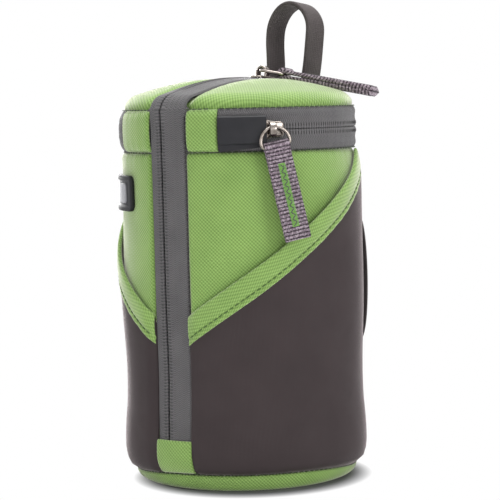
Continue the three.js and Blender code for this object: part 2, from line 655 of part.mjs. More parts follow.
function sliderBody() {
  const plateFoot = SLIDE_GAP;
  const zipDepth = TAPE_THICKNESS + SEAM_GAP + COIL_THICKNESS;
  const innerTop = -zipDepth - SLIDE_GAP;
  const overlap = SLIDER_PLATE / 4;
  const front = taperedPlate(SLIDER_LENGTH, SLIDER_NOSE, SLIDER_TAIL, SLIDER_PLATE)
    .translate(0, 0, plateFoot);
  const back = taperedPlate(SLIDER_INNER_LENGTH, SLIDER_INNER_WIDTH, SLIDER_INNER_WIDTH, SLIDER_PLATE)
    .translate(0, 0, innerTop - SLIDER_PLATE);
  const post = block(-SLIDER_POST_LENGTH, 0, -SLIDER_POST / 2, SLIDER_POST / 2, innerTop - overlap,
    plateFoot + overlap);
  const bridge = extrudeAcross(bridgeShape(plateFoot + SLIDER_PLATE - overlap), BRIDGE_LENGTH);
  return join(front, post, back, bridge);
}

// Pulls: X is the pivot on the slider's bridge, and the pull reaches along -Y

function ringPath() {
  const half = (PULL_WIDTH + RING_WIRE) / 2 + RING_PLAY / 2;
  const bend = half - RING_CORNER;
  const bendY = RING_CORNER - RING_LENGTH;
  const path = new THREE.Path();
  path.absarc(0, -half, half, 0, Math.PI, false);
  path.lineTo(-half, bendY);
  path.absarc(-bend, bendY, RING_CORNER, Math.PI, 1.5 * Math.PI, false);
  path.lineTo(bend, -RING_LENGTH);
  path.absarc(bend, bendY, RING_CORNER, 1.5 * Math.PI, 2 * Math.PI, false);
  path.closePath();
  return path;
}

function wireRing(path, wire, steps, sides) {
  const points = path.getSpacedPoints(steps).slice(0, -1);
  const sections = points.map((point, i) => {
    const before = points.at(i - 1);
    const after = points[(i + 1) % points.length];
    const out = new THREE.Vector2(after.y - before.y, before.x - after.x).normalize();
    return Array.from({ length: sides }, (_, k) => {
      const turn = (2 * Math.PI * k) / sides;
      const away = (wire / 2) * Math.cos(turn);
      return [point.x + away * out.x, point.y + away * out.y, (wire / 2) * Math.sin(turn)];
    });
  });
  return loft(sections);
}

// Webbing seen from its edge: an eye round the ring's bar, then two layers sewn flat with a round end.
function webbingShape() {
  const half = PULL_THICKNESS / 2;
  const eye = -RING_LENGTH;
  const leave = Math.asin(half / PULL_EYE);
  const end = eye - PULL_LENGTH + half;
  const shape = new THREE.Shape();
  shape.moveTo(end, -half);
  shape.absarc(eye, 0, PULL_EYE, Math.PI + leave, 3 * Math.PI - leave, false);
  shape.lineTo(end, half);
  shape.absarc(end, 0, half, Math.PI / 2, 1.5 * Math.PI, false);
  const hole = new THREE.Path();
  hole.absarc(eye, 0, RING_WIRE / 2 + RING_PLAY, 0, 2 * Math.PI, true);
  shape.holes.push(hole);
  return shape;
}

function slider(prefix, place, swing, lift, tilt = 0) {
  const frame = new THREE.Group();
  frame.applyMatrix4(place);
  pouch.add(frame);
  add(`${prefix}_slider`, sliderBody(), NICKEL, frame);
  const pull = new THREE.Group();
  pull.position.set(0, 0, PIVOT_HEIGHT);
  pull.rotation.set(radians(lift), radians(tilt), radians(swing), 'ZYX');
  frame.add(pull);
  add(`${prefix}_pull_ring`, wireRing(ringPath(), RING_WIRE, RING_STEPS, RING_SIDES), NICKEL, pull);
  add(`${prefix}_pull_webbing`, extrudeAcross(webbingShape(), PULL_WIDTH), WEBBING, pull);
}

function placed(along, out, point) {
  const across = new THREE.Vector3().crossVectors(out, along);
  return new THREE.Matrix4().makeBasis(along, across, out).setPosition(point);
}

const topTurn = radians(TOP_SLIDER_ANGLE);
const topOut = new THREE.Vector3(Math.sin(topTurn), -Math.cos(topTurn), 0);
const topAlong = new THREE.Vector3(Math.cos(topTurn), Math.sin(topTurn), 0);
const topPoint = topOut.clone().multiplyScalar(TAPE_OUTER).setZ(ZIP_LINE);
slider('top', placed(topAlong, topOut, topPoint), TOP_PULL_SWING, -TOP_PULL_LIFT);

const trackRadius = DOME_RADIUS - TAPE_INSET;
const sideTilt = Math.asin(SIDE_SLIDER_Y / trackRadius);
const sideOut = new THREE.Vector3(0, Math.sin(sideTilt), Math.cos(sideTilt));
const sideAlong = new THREE.Vector3(0, -Math.cos(sideTilt), Math.sin(sideTilt));
const sidePoint = sideOut.clone().multiplyScalar(trackRadius).add(new THREE.Vector3(0, 0, DOME_CENTRE));
slider('side', placed(sideAlong, sideOut, sidePoint), SIDE_PULL_SWING, SIDE_PULL_DROOP, -SIDE_PULL_TILT);

export default pouch;
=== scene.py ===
# %% [markdown]
# # Dressing a padded lens pouch
# The packed model gives every piece of the pouch its place and its size. This lesson lays cloth, zip tape,
# webbing, rubber and metal over it. Each soft solid is replaced by a sheet or a pad with folded edges, seams
# and stitches, and each surface gets a finish that is made of shader nodes alone.

# %% Load the packed model
import json
import math

import bmesh
import bpy
import numpy as np
from mathutils import Matrix, Vector


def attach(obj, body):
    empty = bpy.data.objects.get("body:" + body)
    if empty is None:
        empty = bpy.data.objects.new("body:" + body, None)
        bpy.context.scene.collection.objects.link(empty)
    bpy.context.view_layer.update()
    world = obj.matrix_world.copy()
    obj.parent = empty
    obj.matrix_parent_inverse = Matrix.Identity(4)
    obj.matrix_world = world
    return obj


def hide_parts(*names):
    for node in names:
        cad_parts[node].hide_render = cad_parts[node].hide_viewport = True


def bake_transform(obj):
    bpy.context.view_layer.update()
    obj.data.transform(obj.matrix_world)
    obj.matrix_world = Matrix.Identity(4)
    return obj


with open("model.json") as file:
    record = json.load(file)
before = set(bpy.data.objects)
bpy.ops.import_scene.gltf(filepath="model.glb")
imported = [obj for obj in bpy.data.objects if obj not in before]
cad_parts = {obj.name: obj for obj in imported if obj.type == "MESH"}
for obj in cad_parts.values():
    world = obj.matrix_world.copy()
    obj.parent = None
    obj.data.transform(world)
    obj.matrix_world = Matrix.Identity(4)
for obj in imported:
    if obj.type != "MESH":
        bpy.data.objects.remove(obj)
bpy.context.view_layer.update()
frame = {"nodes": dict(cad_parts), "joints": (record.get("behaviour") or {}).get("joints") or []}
MM = 0.001

# %% [markdown]
# ## Sizes come from the frame
# A dressed piece has to lie where its solid lies, so its radius, heights and edges are read from the solid's
# corners and not typed again. Round the pouch, places are given as an angle in degrees from the side zip,
# growing towards +X, and a height. All lengths in this file are in millimetres until a mesh is made.

# %% Measure the frame
def corners_of(node):
    return np.array([v.co for v in frame["nodes"][node].data.vertices]) / MM


def radius_of(node):
    return float(np.hypot(*corners_of(node)[:, :2].T).max())


def heights_of(node):
    heights = corners_of(node)[:, 2]
    return float(heights.min()), float(heights.max())


def angles_of(node):
    x, y, _ = corners_of(node).T
    angles = np.degrees(np.arctan2(x, -y))
    return float(angles.min()), float(angles.max())


WALL = radius_of("wall_cover")
TAPE = radius_of("top_tape_lower")
WALL_BOTTOM, WALL_TOP = heights_of("wall_cover")
BAND_BOTTOM, BAND_TOP = heights_of("hinge_band_right")
ZIP_LINE = (heights_of("top_tape_lower")[1] + heights_of("top_tape_upper")[0]) / 2
COVER_RIGHT, BAND_RIGHT = angles_of("hinge_band_right")
BAND_LEFT, COVER_LEFT = angles_of("hinge_band_left")
DEGREES_PER_MM = math.degrees(1 / WALL)
print(f"wall {WALL:.1f} mm, band {BAND_BOTTOM:.1f} to {BAND_TOP:.1f} mm, zip line {ZIP_LINE:.1f} mm")

# %% [markdown]
# ## The forms that cloth is laid on
# The wall, the pockets and the zip band all lie on one soft cylinder, and the lid on one dome with a round
# shoulder. A function for each turns flat cloth coordinates into points, and takes a lift off the surface.
# Pieces that share a form stay aligned, however it is dented, and that is why the slack is in the form. The
# real wall is foam between two cloths: it is a little hollow here and there, and it tucks in at the base.

# %% Soft cylinder
POCKET_GAP = 0.3
POCKET = 1.4
POCKET_R = WALL + POCKET_GAP + POCKET
TUCK, TUCK_HEIGHT = POCKET_R - radius_of("base_panel"), 10.0
DENTS = ((0.35, 2, 0.4, 31), (0.2, 5, 0.0, 17))  # depth, count round the wall, start and lean
DENT_BOTTOM, DENT_TOP = 45.0, 140.0
WAIST, WAIST_HEIGHT, WAIST_REACH = 1.2, 50.0, 24.0
TOP_DRAW, TOP_DRAW_REACH = 1.6, 13.0
BACK_ANGLE, BACK_REACH = 130, 45
SEAM_DIP, SEAM_DIP_REACH = 3.5, 26.0
FRONT = 40.0


def smooth(value, start, end):
    """From 0 at the start to 1 at the end, level at both."""
    t = np.clip((value - start) / (end - start), 0, 1)
    return t * t * (3 - 2 * t)


def bell(value, reach):
    """One at zero, and falling away on both sides."""
    return np.exp(-((value / reach) ** 2))


def hem(distance, width, depth):
    """How far cloth sinks where it folds under, at a distance from its edge."""
    t = np.clip(1 - distance / width, 0, 1)
    return depth * (1 - np.sqrt(1 - t * t))


def turned(r, angle, height):
    """Points at a radius, an angle and a height."""
    turn = np.radians(angle)
    return np.stack(np.broadcast_arrays(r * np.sin(turn), -r * np.cos(turn), height), axis=-1)


def slack(angle, height):
    """How far the soft wall lies outside a true cylinder."""
    turn = np.radians(angle)
    free = smooth(height, WALL_BOTTOM, DENT_BOTTOM) * (1 - smooth(height, DENT_TOP, WALL_TOP))
    dents = sum(depth * np.sin(count * turn + start + height / lean) for depth, count, start, lean in DENTS)
    waist = WAIST * bell(height - WAIST_HEIGHT, WAIST_REACH)
    drawn = TOP_DRAW * bell((angle - BACK_ANGLE + 180) % 360 - 180, BACK_REACH)
    drawn = drawn * smooth(height, WALL_TOP - TOP_DRAW_REACH, WALL_TOP) * (height <= WALL_TOP)
    return free * dents - hem(height - WALL_BOTTOM, TUCK_HEIGHT, TUCK) - waist - drawn


def seam_dip(angle):
    """How far the base seam hangs lower at the pouch's two sides, where the wall has settled over it."""
    return SEAM_DIP * np.sin(np.radians(angle - FRONT)) ** 4


def on_wall(radius):
    def place(angle, height, lift):
        low = 1 - smooth(height, WALL_BOTTOM, WALL_BOTTOM + SEAM_DIP_REACH)
        return turned(radius + slack(angle, height) + lift, angle, height - seam_dip(angle) * low)

    return place


def wall_cloth_size(angle, height):
    return np.radians(angle) * WALL, height


print(f"pockets lie at {POCKET_R:.1f} mm and tuck in by {TUCK:.1f} mm at the base")

# %% Dome of the lid
def joint(name):
    return next(j for j in frame["joints"] if j["name"] == name)


TINY = 1e-6
SHOULDER = 10.0
LID_RIM = heights_of("lid_panel_right")[0]
DOME_CENTRE = joint("side_zip_travel")["pos_m"][2] / MM
DOME = float(np.linalg.norm(corners_of("lid_panel_right") - [0, 0, DOME_CENTRE], axis=1).max())
SHOULDER_R = WALL - SHOULDER
SHOULDER_Z = DOME_CENTRE + math.sqrt((DOME - SHOULDER) ** 2 - SHOULDER_R**2)
DOME_END = DOME * SHOULDER_R / (DOME - SHOULDER)
RIM_R = SHOULDER_R + math.sqrt(SHOULDER**2 - (LID_RIM - SHOULDER_Z) ** 2)


def on_dome(x, y, lift):
    """Points over a place in plan, lifted along the dome's own normal."""
    away = np.maximum(np.hypot(x, y), TINY)
    plan = np.minimum(np.hypot(x, y), RIM_R)
    on_top = plan < DOME_END
    lean = np.where(on_top, plan / DOME, np.clip((plan - SHOULDER_R) / SHOULDER, 0, 1))
    upright = np.sqrt(1 - lean**2)
    height = np.where(on_top, DOME_CENTRE + DOME * upright, SHOULDER_Z + SHOULDER * upright)
    r = plan + lift * lean
    return np.stack([x / away * r, y / away * r, height + lift * upright], axis=-1)


print(f"lid crest {DOME_CENTRE + DOME:.1f} mm, rim radius {RIM_R:.1f} mm")

# %% [markdown]
# ## Cloth as a closed sheet
# A cloth could be one surface with a Solidify modifier. Here both faces and the rim are written out, because
# the upper face can then roll down to the lower one at an edge, which is how a folded hem looks. The grid is
# finer over each hem. Every sheet keeps its flat size in millimetres as UV, so that a weave can follow it.

# %% Meshes and sheets
HEM_STEPS = (0.0, 0.04, 0.13, 0.29, 0.5, 0.75, 1.0)
HEM_CLEAR = 1.2
DEEPEST_FOLD = 0.92


def spaced(start, end, step, edge=0.0):
    """Values about a step apart, closer together over a hem of this width at each end."""
    values = np.linspace(start, end, max(2, int(round((end - start) / step)) + 1))
    if edge:
        near = edge * np.array(HEM_STEPS)
        middle = values[(values > start + HEM_CLEAR * edge) & (values < end - HEM_CLEAR * edge)]
        values = np.concatenate([start + near, middle, (end - near)[::-1]])
    return values


def make_mesh(name, points, faces, flat=None):
    mesh = bpy.data.meshes.new(name)
    mesh.from_pydata((np.asarray(points) * MM).tolist(), [], faces)
    if flat is not None:
        corner = np.zeros(len(mesh.loops), int)
        mesh.loops.foreach_get("vertex_index", corner)
        mesh.uv_layers.new(name="cloth").data.foreach_set("uv", np.asarray(flat, float)[corner].ravel())
    work = bmesh.new()
    work.from_mesh(mesh)
    bmesh.ops.recalc_face_normals(work, faces=work.faces)
    work.to_mesh(mesh)
    work.free()
    mesh.polygons.foreach_set("use_smooth", [True] * len(mesh.polygons))
    piece = bpy.data.objects.new(name, mesh)
    bpy.context.scene.collection.objects.link(piece)
    return piece


def quads(index):
    """The squares of a grid of point numbers."""
    return np.stack([index[:-1, :-1], index[:-1, 1:], index[1:, 1:], index[1:, :-1]], axis=-1).reshape(-1, 4)


def wrapped(index):
    """The same grid with its first column again at the end."""
    return np.concatenate([index, index[:, :1]], axis=1)


def sheet_faces(rows, cols, around):
    """Quads of an upper face, a lower face and the rim between them."""
    under = rows * cols
    index = np.arange(under).reshape(rows, cols)
    edges = [index[0], index[-1], index[:, 0], index[:, -1]]
    if around:
        index = wrapped(index)
        edges = [index[0], index[-1]]
    upper = quads(index)
    rims = [np.stack([e[:-1], e[1:], e[1:] + under, e[:-1] + under], axis=-1) for e in edges]
    return np.concatenate([upper, upper[:, ::-1] + under, *rims]).tolist()


def cloth(name, place, us, vs, thickness, crown=None, fold=None, flat=None, around=False):
    """A closed sheet: crown lifts both faces, fold sinks the upper one towards the lower."""
    u, v = np.meshgrid(us, vs)
    lift = crown(u, v) if crown else np.zeros_like(u)
    sink = np.minimum(fold(u, v), DEEPEST_FOLD * thickness) if fold else np.zeros_like(u)
    upper = place(u, v, lift - sink).reshape(-1, 3)
    lower = place(u, v, lift - thickness).reshape(-1, 3)
    size = np.stack(flat(u, v) if flat else (u, v), axis=-1).reshape(-1, 2)
    faces = sheet_faces(len(vs), len(us), around)
    return make_mesh(name, np.concatenate([upper, lower]), faces, np.concatenate([size, size]))


print("grid over a 1 mm hem:", spaced(0, 10, 2, edge=1.0).round(2))

# %% [markdown]
# ## Shader maths as plain expressions
# A weave or a rib is a formula, and a formula is hard to read as a heap of nodes. The class below wraps one
# socket, and its operators add Math nodes, so a finish can be written as a sum of waves. Colours go through
# Mix nodes. All other nodes come from one method, which sets a node's options first and its sockets second.

# %% A socket with arithmetic
class Value:
    """A socket's number, with arithmetic that adds Math nodes."""

    def __init__(self, nodes, socket):
        self.nodes = nodes
        self.socket = socket

    def calc(self, operation, *values):
        return self.nodes.node("ShaderNodeMath", dict(enumerate(values)), operation=operation)

    def __add__(self, other):
        return self.calc("ADD", self, other)

    def __sub__(self, other):
        return self.calc("SUBTRACT", self, other)

    def __rsub__(self, other):
        return self.calc("SUBTRACT", other, self)

    def __mul__(self, other):
        return self.calc("MULTIPLY", self, other)

    def __truediv__(self, other):
        return self.calc("DIVIDE", self, other)

    def __rtruediv__(self, other):
        return self.calc("DIVIDE", other, self)

    def __pow__(self, exponent):
        return self.calc("POWER", self, exponent)

    def __gt__(self, edge):
        return self.calc("GREATER_THAN", self, edge)

    def __abs__(self):
        return self.calc("ABSOLUTE", self)

    __radd__ = __add__
    __rmul__ = __mul__

    def clamped(self):
        return self.nodes.node("ShaderNodeClamp", {0: self})

    def wave(self, pitch):
        """A sine from -1 to 1, with its crests a pitch apart."""
        return self.calc("SINE", self * (2 * math.pi / pitch))

    def ribs(self, pitch):
        """The same wave from 0 to 1."""
        return self.wave(pitch) * 0.5 + 0.5


print("a socket has", ", ".join(name for name in vars(Value) if not name.startswith("_")))

# %% Node trees and finishes
MIX_FIRST, MIX_SECOND, MIX_RESULT = 6, 7, 2  # a Mix node's sockets for colours
SRGB_LINEAR_END = 0.04045


def paint(red, green, blue):
    """A colour as it is seen, from 0 to 255, turned into the light that a shader takes."""
    seen = np.array([red, green, blue]) / 255
    light = np.where(seen <= SRGB_LINEAR_END, seen / 12.92, ((seen + 0.055) / 1.055) ** 2.4)
    return (*light.tolist(), 1.0)


class Nodes:
    """A node tree, and the one method that adds nodes to it."""

    def __init__(self, tree):
        self.tree = tree

    def feed(self, socket, value):
        if isinstance(value, Value):
            self.tree.links.new(value.socket, socket)
        else:
            socket.default_value = value

    def node(self, kind, inputs=(), out=0, **options):
        made = self.tree.nodes.new(kind)
        for key, option in options.items():
            setattr(made, key, option)
        for key, value in dict(inputs).items():
            self.feed(made.inputs[key], value)
        return Value(self, made.outputs[out])

    def plain_rays(self):
        """One for rays that show a thing itself: seen straight, in a mirror or through glass."""
        kinds = ("Is Camera Ray", "Is Glossy Ray", "Is Transmission Ray")
        return sum(self.node("ShaderNodeLightPath", out=kind) for kind in kinds).clamped()


class Finish(Nodes):
    """A material: its slot, its nodes, its shader and the numbers that are the same all over it."""

    def __init__(self, name, slot=None, **numbers):
        self.slot = slot or name
        self.material = bpy.data.materials.new(name)
        self.material.use_nodes = True
        super().__init__(self.material.node_tree)
        self.shader = self.tree.nodes["Principled BSDF"]
        self.wear(**numbers)

    def flat(self):
        """The cloth's own two coordinates in millimetres."""
        vector = self.node("ShaderNodeUVMap", uv_map="cloth")
        return tuple(self.node("ShaderNodeSeparateXYZ", {0: vector}, out=axis) for axis in (0, 1))

    def noise(self, size, detail=2.0):
        """Soft random values, with spots of about this size in millimetres."""
        place = self.node("ShaderNodeTexCoord", out="Object")
        return self.node("ShaderNodeTexNoise", {"Vector": place, "Scale": 1 / (size * MM), "Detail": detail})

    def mix(self, factor, first, second):
        inputs = {0: factor, MIX_FIRST: first, MIX_SECOND: second}
        return self.node("ShaderNodeMix", inputs, out=MIX_RESULT, data_type="RGBA", clamp_factor=True)

    def bump(self, height, depth, strength):
        inputs = {"Height": height, "Distance": depth * MM, "Strength": strength}
        self.wear(Normal=self.node("ShaderNodeBump", inputs))

    def wear(self, **inputs):
        for socket, value in inputs.items():
            self.feed(self.shader.inputs[socket.replace("_", " ")], value)
        return self

    def tint(self, tone, dark, light, rough):
        """Colours the surface from dark to light by a tone, and says how rough it is."""
        return self.wear(Base_Color=self.mix(tone, paint(*dark), paint(*light)), Roughness=rough)


print("mid grey as light:", round(paint(128, 128, 128)[0], 3))

# %% [markdown]
# ## Green cloth
# The cover is a heavy woven nylon. From a step away its crossings read as fine slanted lines of dots, where
# the threads of one direction catch the light. A picture texture could show that, but a formula stays sharp
# at any distance. A strong wave along one diagonal and a weaker one along the other give the dots, as bump
# and as colour: the colour is a painted highlight on the crests and painted shade between them. The tape on
# the pockets' edges has slanted ribs instead, painted the same way.

# %% Woven finishes
CLOTH_PITCH = 1.15
GREEN_SHEEN = {"Sheen_Weight": 1.0, "Sheen_Roughness": 0.38, "Sheen_Tint": paint(255, 252, 240)}


def twill(finish):
    """Height of a fine twill, from 0 to 1."""
    u, v = finish.flat()
    diagonal = CLOTH_PITCH * math.sqrt(2)
    return (u + v).wave(diagonal) * 0.32 + (u - v).wave(diagonal) * 0.18 + 0.5


def grosgrain(finish):
    """Height of a narrow tape with slanted ribs from edge to edge, broken by its weave."""
    along, across = finish.flat()
    ribs = (along * 0.9 - across * 0.45).wave(pitch=1.15)
    weave = (along * 0.45 + across * 0.9).wave(pitch=1.3)
    return ribs * 0.26 + weave * 0.2 + 0.5


def woven(name, dark, light, height_of, depth):
    finish = Finish(name, "green_cloth", **GREEN_SHEEN)
    height = height_of(finish)
    spots = finish.noise(16.0)
    finish.bump(height, depth, strength=0.8)
    # Painted highlight and shade: the weave's height lightens the colour on its crests and darkens it between
    # them. The spots are random tone of the cloth.
    return finish.tint(height * 0.85 + spots * 0.4 - 0.12, dark, light, 0.66 + spots * 0.16)


green_cloth = woven("green_cloth", (89, 126, 46), (150, 184, 101), twill, depth=0.2)
green_tape = woven("green_tape", (84, 119, 42), (154, 188, 105), grosgrain, depth=0.18)
print("made green cloth and green tape, with a twill of", CLOTH_PITCH, "mm")

# %% [markdown]
# ## Stretch cloth, lining, zip tape and webbing
# The pockets are a smooth knit with fine upright wales and a soft bloom at grazing angles, so most of their
# look is sheen. The lining is brushed, which noise gives. Zip tape is a herringbone twill with ribs beside
# the coil, and webbing shows its ribs: both are waves in the cloth's own coordinates.

# %% Knit and lining
def stretch_finish():
    finish = Finish("stretch_cloth", Specular_IOR_Level=0.2, Sheen_Weight=0.6, Sheen_Roughness=0.22,
                    Sheen_Tint=paint(235, 222, 224))
    u, v = finish.flat()
    wales = abs(u.wave(pitch=1.1))
    finish.bump(wales * (v.wave(pitch=0.6) * 0.2 + 0.8), depth=0.06, strength=0.5)
    tone = wales * 0.25 + finish.noise(22.0) * 0.7
    return finish.tint(tone, (50, 43, 44), (66, 57, 58), 0.62 + finish.noise(9.0) * 0.2)


def lining_finish():
    finish = Finish("lining", Sheen_Weight=0.5, Sheen_Roughness=0.6)
    nap = finish.noise(0.9, detail=4.0)
    finish.bump(nap, depth=0.15, strength=0.6)
    return finish.tint(nap * 0.5 + finish.noise(18.0) * 0.6, (136, 138, 140), (182, 184, 186), 0.9)


stretch_cloth = stretch_finish()
lining = lining_finish()
print("made", stretch_cloth.slot, "and", lining.slot)

# %% Tape and webbing
RIBBED_REACH = 3.0
ZIP_PITCH = 1.4
RIB_PITCH = 1.6


def tape_finish():
    finish = Finish("zip_tape", Specular_IOR_Level=0.3, Sheen_Weight=0.2, Sheen_Roughness=0.3)
    u, v = finish.flat()
    beside_coil = 1 - (abs(u) / RIBBED_REACH).clamped() ** 8
    slanted = (v + abs(u.wave(pitch=4.8)) * 0.8).ribs(pitch=0.95)
    height = beside_coil * v.ribs(ZIP_PITCH) + (1 - beside_coil) * slanted
    finish.bump(height, depth=0.2, strength=0.8)
    tone = height * 0.6 + finish.noise(11.0) * 0.4
    return finish.tint(tone, (66, 65, 67), (114, 112, 113), 0.68 + finish.noise(7.0) * 0.15)


def dark_webbing_finish():
    finish = Finish("dark_webbing", Specular_IOR_Level=0.2, Sheen_Weight=0.2, Sheen_Roughness=0.3,
                    Sheen_Tint=paint(205, 196, 196))
    u, v = finish.flat()
    height = abs(u.wave(pitch=2.6)) * 0.7 + v.ribs(pitch=0.9) * 0.3
    finish.bump(height, depth=0.16, strength=0.7)
    return finish.tint(height * 0.45 + finish.noise(8.0) * 0.5, (56, 51, 50), (93, 87, 87), 0.8)


def pull_finish():
    finish = Finish("pull_webbing", Specular_IOR_Level=0.2, Sheen_Weight=0.1, Sheen_Roughness=0.4)
    u, v = finish.flat()
    rib = abs(v.wave(2 * RIB_PITCH)) ** 0.8
    thread = u.ribs(pitch=0.8)
    fleck = finish.noise(0.9, detail=1.0) > 0.54
    finish.bump(rib * 0.7 + thread * 0.3, depth=0.14, strength=0.7)
    # Painted highlight and shade: the ribs set the colour, light on their crests and near black between them.
    # The pale flecks are yarn colour, but they are painted only on the lit crests, so they are painted
    # highlight as well.
    body = finish.mix(rib * 1.25 + thread * 0.1 - 0.35, paint(30, 22, 29), paint(132, 118, 128))
    return finish.wear(Base_Color=finish.mix(fleck * rib * 0.5, body, paint(206, 192, 202)), Roughness=0.8)


zip_tape = tape_finish()
dark_webbing = dark_webbing_finish()
pull_webbing = pull_finish()
print("made", zip_tape.slot, dark_webbing.slot, pull_webbing.slot)

# %% [markdown]
# ## Rubber, nylon, nickel and thread
# The hood over the slider and the badge's patch are moulded rubber with a fine stipple. The sliders and rings
# are plated castings, polished and a little uneven; their colour is a dull brown in soft patches, a painted
# reflection of dark surroundings that the white ones around them don't give. The badge's plate is bare
# brushed metal. Threads are plain colours with a twist of their own.

# %% Hard finishes and threads
def rubber_finish():
    finish = Finish("black_rubber", Specular_IOR_Level=0.25)
    stipple = finish.noise(0.5, detail=3.0)
    finish.bump(stipple, depth=0.08, strength=0.4)
    return finish.tint(finish.noise(6.0) * 0.8, (32, 32, 35), (46, 46, 50), 0.52 + stipple * 0.15)


def nickel_finish():
    finish = Finish("nickel", Metallic=1.0)
    cloud = finish.noise(2.5, detail=3.0)
    finish.bump(cloud, depth=0.05, strength=0.25)
    # Painted reflection: the darker brown patches stand for dark surroundings mirrored in the metal.
    return finish.tint(cloud, (98, 88, 82), (178, 170, 163), 0.14 + cloud * 0.16)


def plate_finish():
    finish = Finish("plate", "nickel", Metallic=0.3, Specular_IOR_Level=0.3)
    u, v = finish.flat()
    drawn_out = finish.node("ShaderNodeCombineXYZ", {0: u * 0.06, 1: v * 4.0})
    brushed = finish.node("ShaderNodeTexNoise", {"Vector": drawn_out, "Scale": 3.0, "Detail": 3.0})
    finish.bump(brushed, depth=0.03, strength=0.4)
    return finish.tint(brushed, (128, 128, 133), (176, 176, 180), 0.6)


def coil_finish():
    finish = Finish("zip_coil")
    # Partly the coil's own dark nylon and partly painted shade: it is darkened further so that the gap along
    # the zip's line reads as a black shaded slit.
    return finish.tint(finish.noise(2.0), (30, 29, 31), (54, 52, 55), 0.5)


def thread_finish(name, dark, light):
    finish = Finish(name, Sheen_Weight=0.2, Sheen_Roughness=0.4)
    u, v = finish.flat()
    twist = (u + v * 0.6).ribs(pitch=0.5)
    finish.bump(twist, depth=0.06, strength=0.5)
    return finish.tint(twist, dark, light, 0.65)


black_rubber = rubber_finish()
nickel = nickel_finish()
bare_plate = plate_finish()
zip_coil = coil_finish()
green_thread = thread_finish("green_thread", (50, 76, 26), (86, 120, 48))
bright_thread = thread_finish("bright_thread", (92, 146, 52), (140, 196, 92))
grey_thread = thread_finish("grey_thread", (62, 59, 62), (98, 94, 97))
dark_thread = thread_finish("dark_thread", (30, 28, 29), (54, 50, 51))
seam_thread = thread_finish("seam_thread", (30, 40, 18), (56, 74, 34))
print("made", black_rubber.slot, nickel.slot, zip_coil.slot, "a plate and five threads")

# %% [markdown]
# ## Putting a piece into the frame
# Each piece gets its material, hides the solids it stands for and hangs from the body that carries it.
# Cloth that crosses the lid's fold hangs from no body: its place is baked into its points.


def dress(piece, finish, body, stands_for=(), slot=None):
    piece.data.materials.append(finish.material)
    slot or finish.slot
    if stands_for:
        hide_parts(*stands_for)
    if body == "fold":
        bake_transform(piece)
    else:
        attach(piece, body)
    return piece


def declare(piece, width, length, area=None):
    """Says what size a cloth was cut to, in millimetres."""
    cut = None if area is None else area * MM * MM
    width * MM
    length * MM
    print(f"{piece.name}: cut {width:.0f} x {length:.0f} mm")


# %% [markdown]
# ## Stitches and tubes
# A row of stitches is one small capsule, copied along a path: it lies on the cloth, and its ends sink in. A
# tube is a circle carried along a path. Both are plain point sums, so that thousands of points stay quick.

# %% Paths
def unit(vectors):
    return vectors / np.maximum(np.linalg.norm(vectors, axis=-1, keepdims=True), 1e-9)


def run_along(points):
    """Distance from a path's start, at each of its points."""
    return np.concatenate([[0], np.cumsum(np.linalg.norm(np.diff(points, axis=0), axis=1))])


def between(at, run, values):
    """A path's values at some distances from its start."""
    return np.stack([np.interp(at, run, column) for column in np.transpose(values)], axis=-1)


def tube(name, points, radius, sides, up, closed=False):
    """A round wire along points, with up as a direction that the path never takes."""
    points = np.asarray(points, float)
    ahead, behind = np.roll(points, -1, axis=0), np.roll(points, 1, axis=0)
    index = np.arange(len(points) * sides).reshape(len(points), sides)
    if closed:
        faces = quads(wrapped(np.concatenate([index, index[:1]]))).tolist()
    else:
        ahead[-1], behind[0] = points[-1], points[0]
        faces = quads(wrapped(index)).tolist() + [index[0].tolist(), index[-1].tolist()]
    along = unit(ahead - behind)
    side = unit(np.cross(along, up))
    other = np.cross(side, along)
    turns = np.arange(sides) * 2 * math.pi / sides
    ring = np.cos(turns)[None, :, None] * side[:, None] + np.sin(turns)[None, :, None] * other[:, None]
    flat = np.stack(np.meshgrid(turns * radius, run_along(points)), axis=-1).reshape(-1, 2)
    return make_mesh(name, (points[:, None] + radius * ring).reshape(-1, 3), faces, flat)


print("a path of two steps runs", run_along([(0, 0), (3, 4), (3, 5)]))

# %% Stitches
STITCH_RINGS = ((-0.5, 0.35), (-0.36, 0.85), (0.0, 1.0), (0.36, 0.85), (0.5, 0.35))
STITCH_SIDES = 6


def stitch_template():
    turns = np.arange(STITCH_SIDES) * 2 * math.pi / STITCH_SIDES
    points = [(x, r * math.cos(t), r * math.sin(t)) for x, r in STITCH_RINGS for t in turns]
    index = np.arange(len(points)).reshape(-1, STITCH_SIDES)
    return np.array(points), quads(wrapped(index)).tolist() + [index[0].tolist(), index[-1].tolist()]


def sew(name, middles, alongs, outs, length, thick):
    """One capsule at each middle point, lying along one direction with another as its upper side."""
    template, faces = stitch_template()
    along = unit(np.broadcast_to(alongs, middles.shape))
    outs = np.broadcast_to(outs, middles.shape)
    out = unit(outs - along * np.sum(outs * along, axis=-1, keepdims=True))
    local = template * [length, thick / 2, thick / 2]
    axes = (along, np.cross(out, along), out)
    points = sum(local[None, :, i, None] * axis[:, None, :] for i, axis in enumerate(axes))
    points = points + middles[:, None, :]
    count = len(template)
    all_faces = [tuple(i + k * count for i in face) for k in range(len(middles)) for face in faces]
    return make_mesh(name, points.reshape(-1, 3), all_faces, np.tile(local[:, :2], (len(middles), 1)))


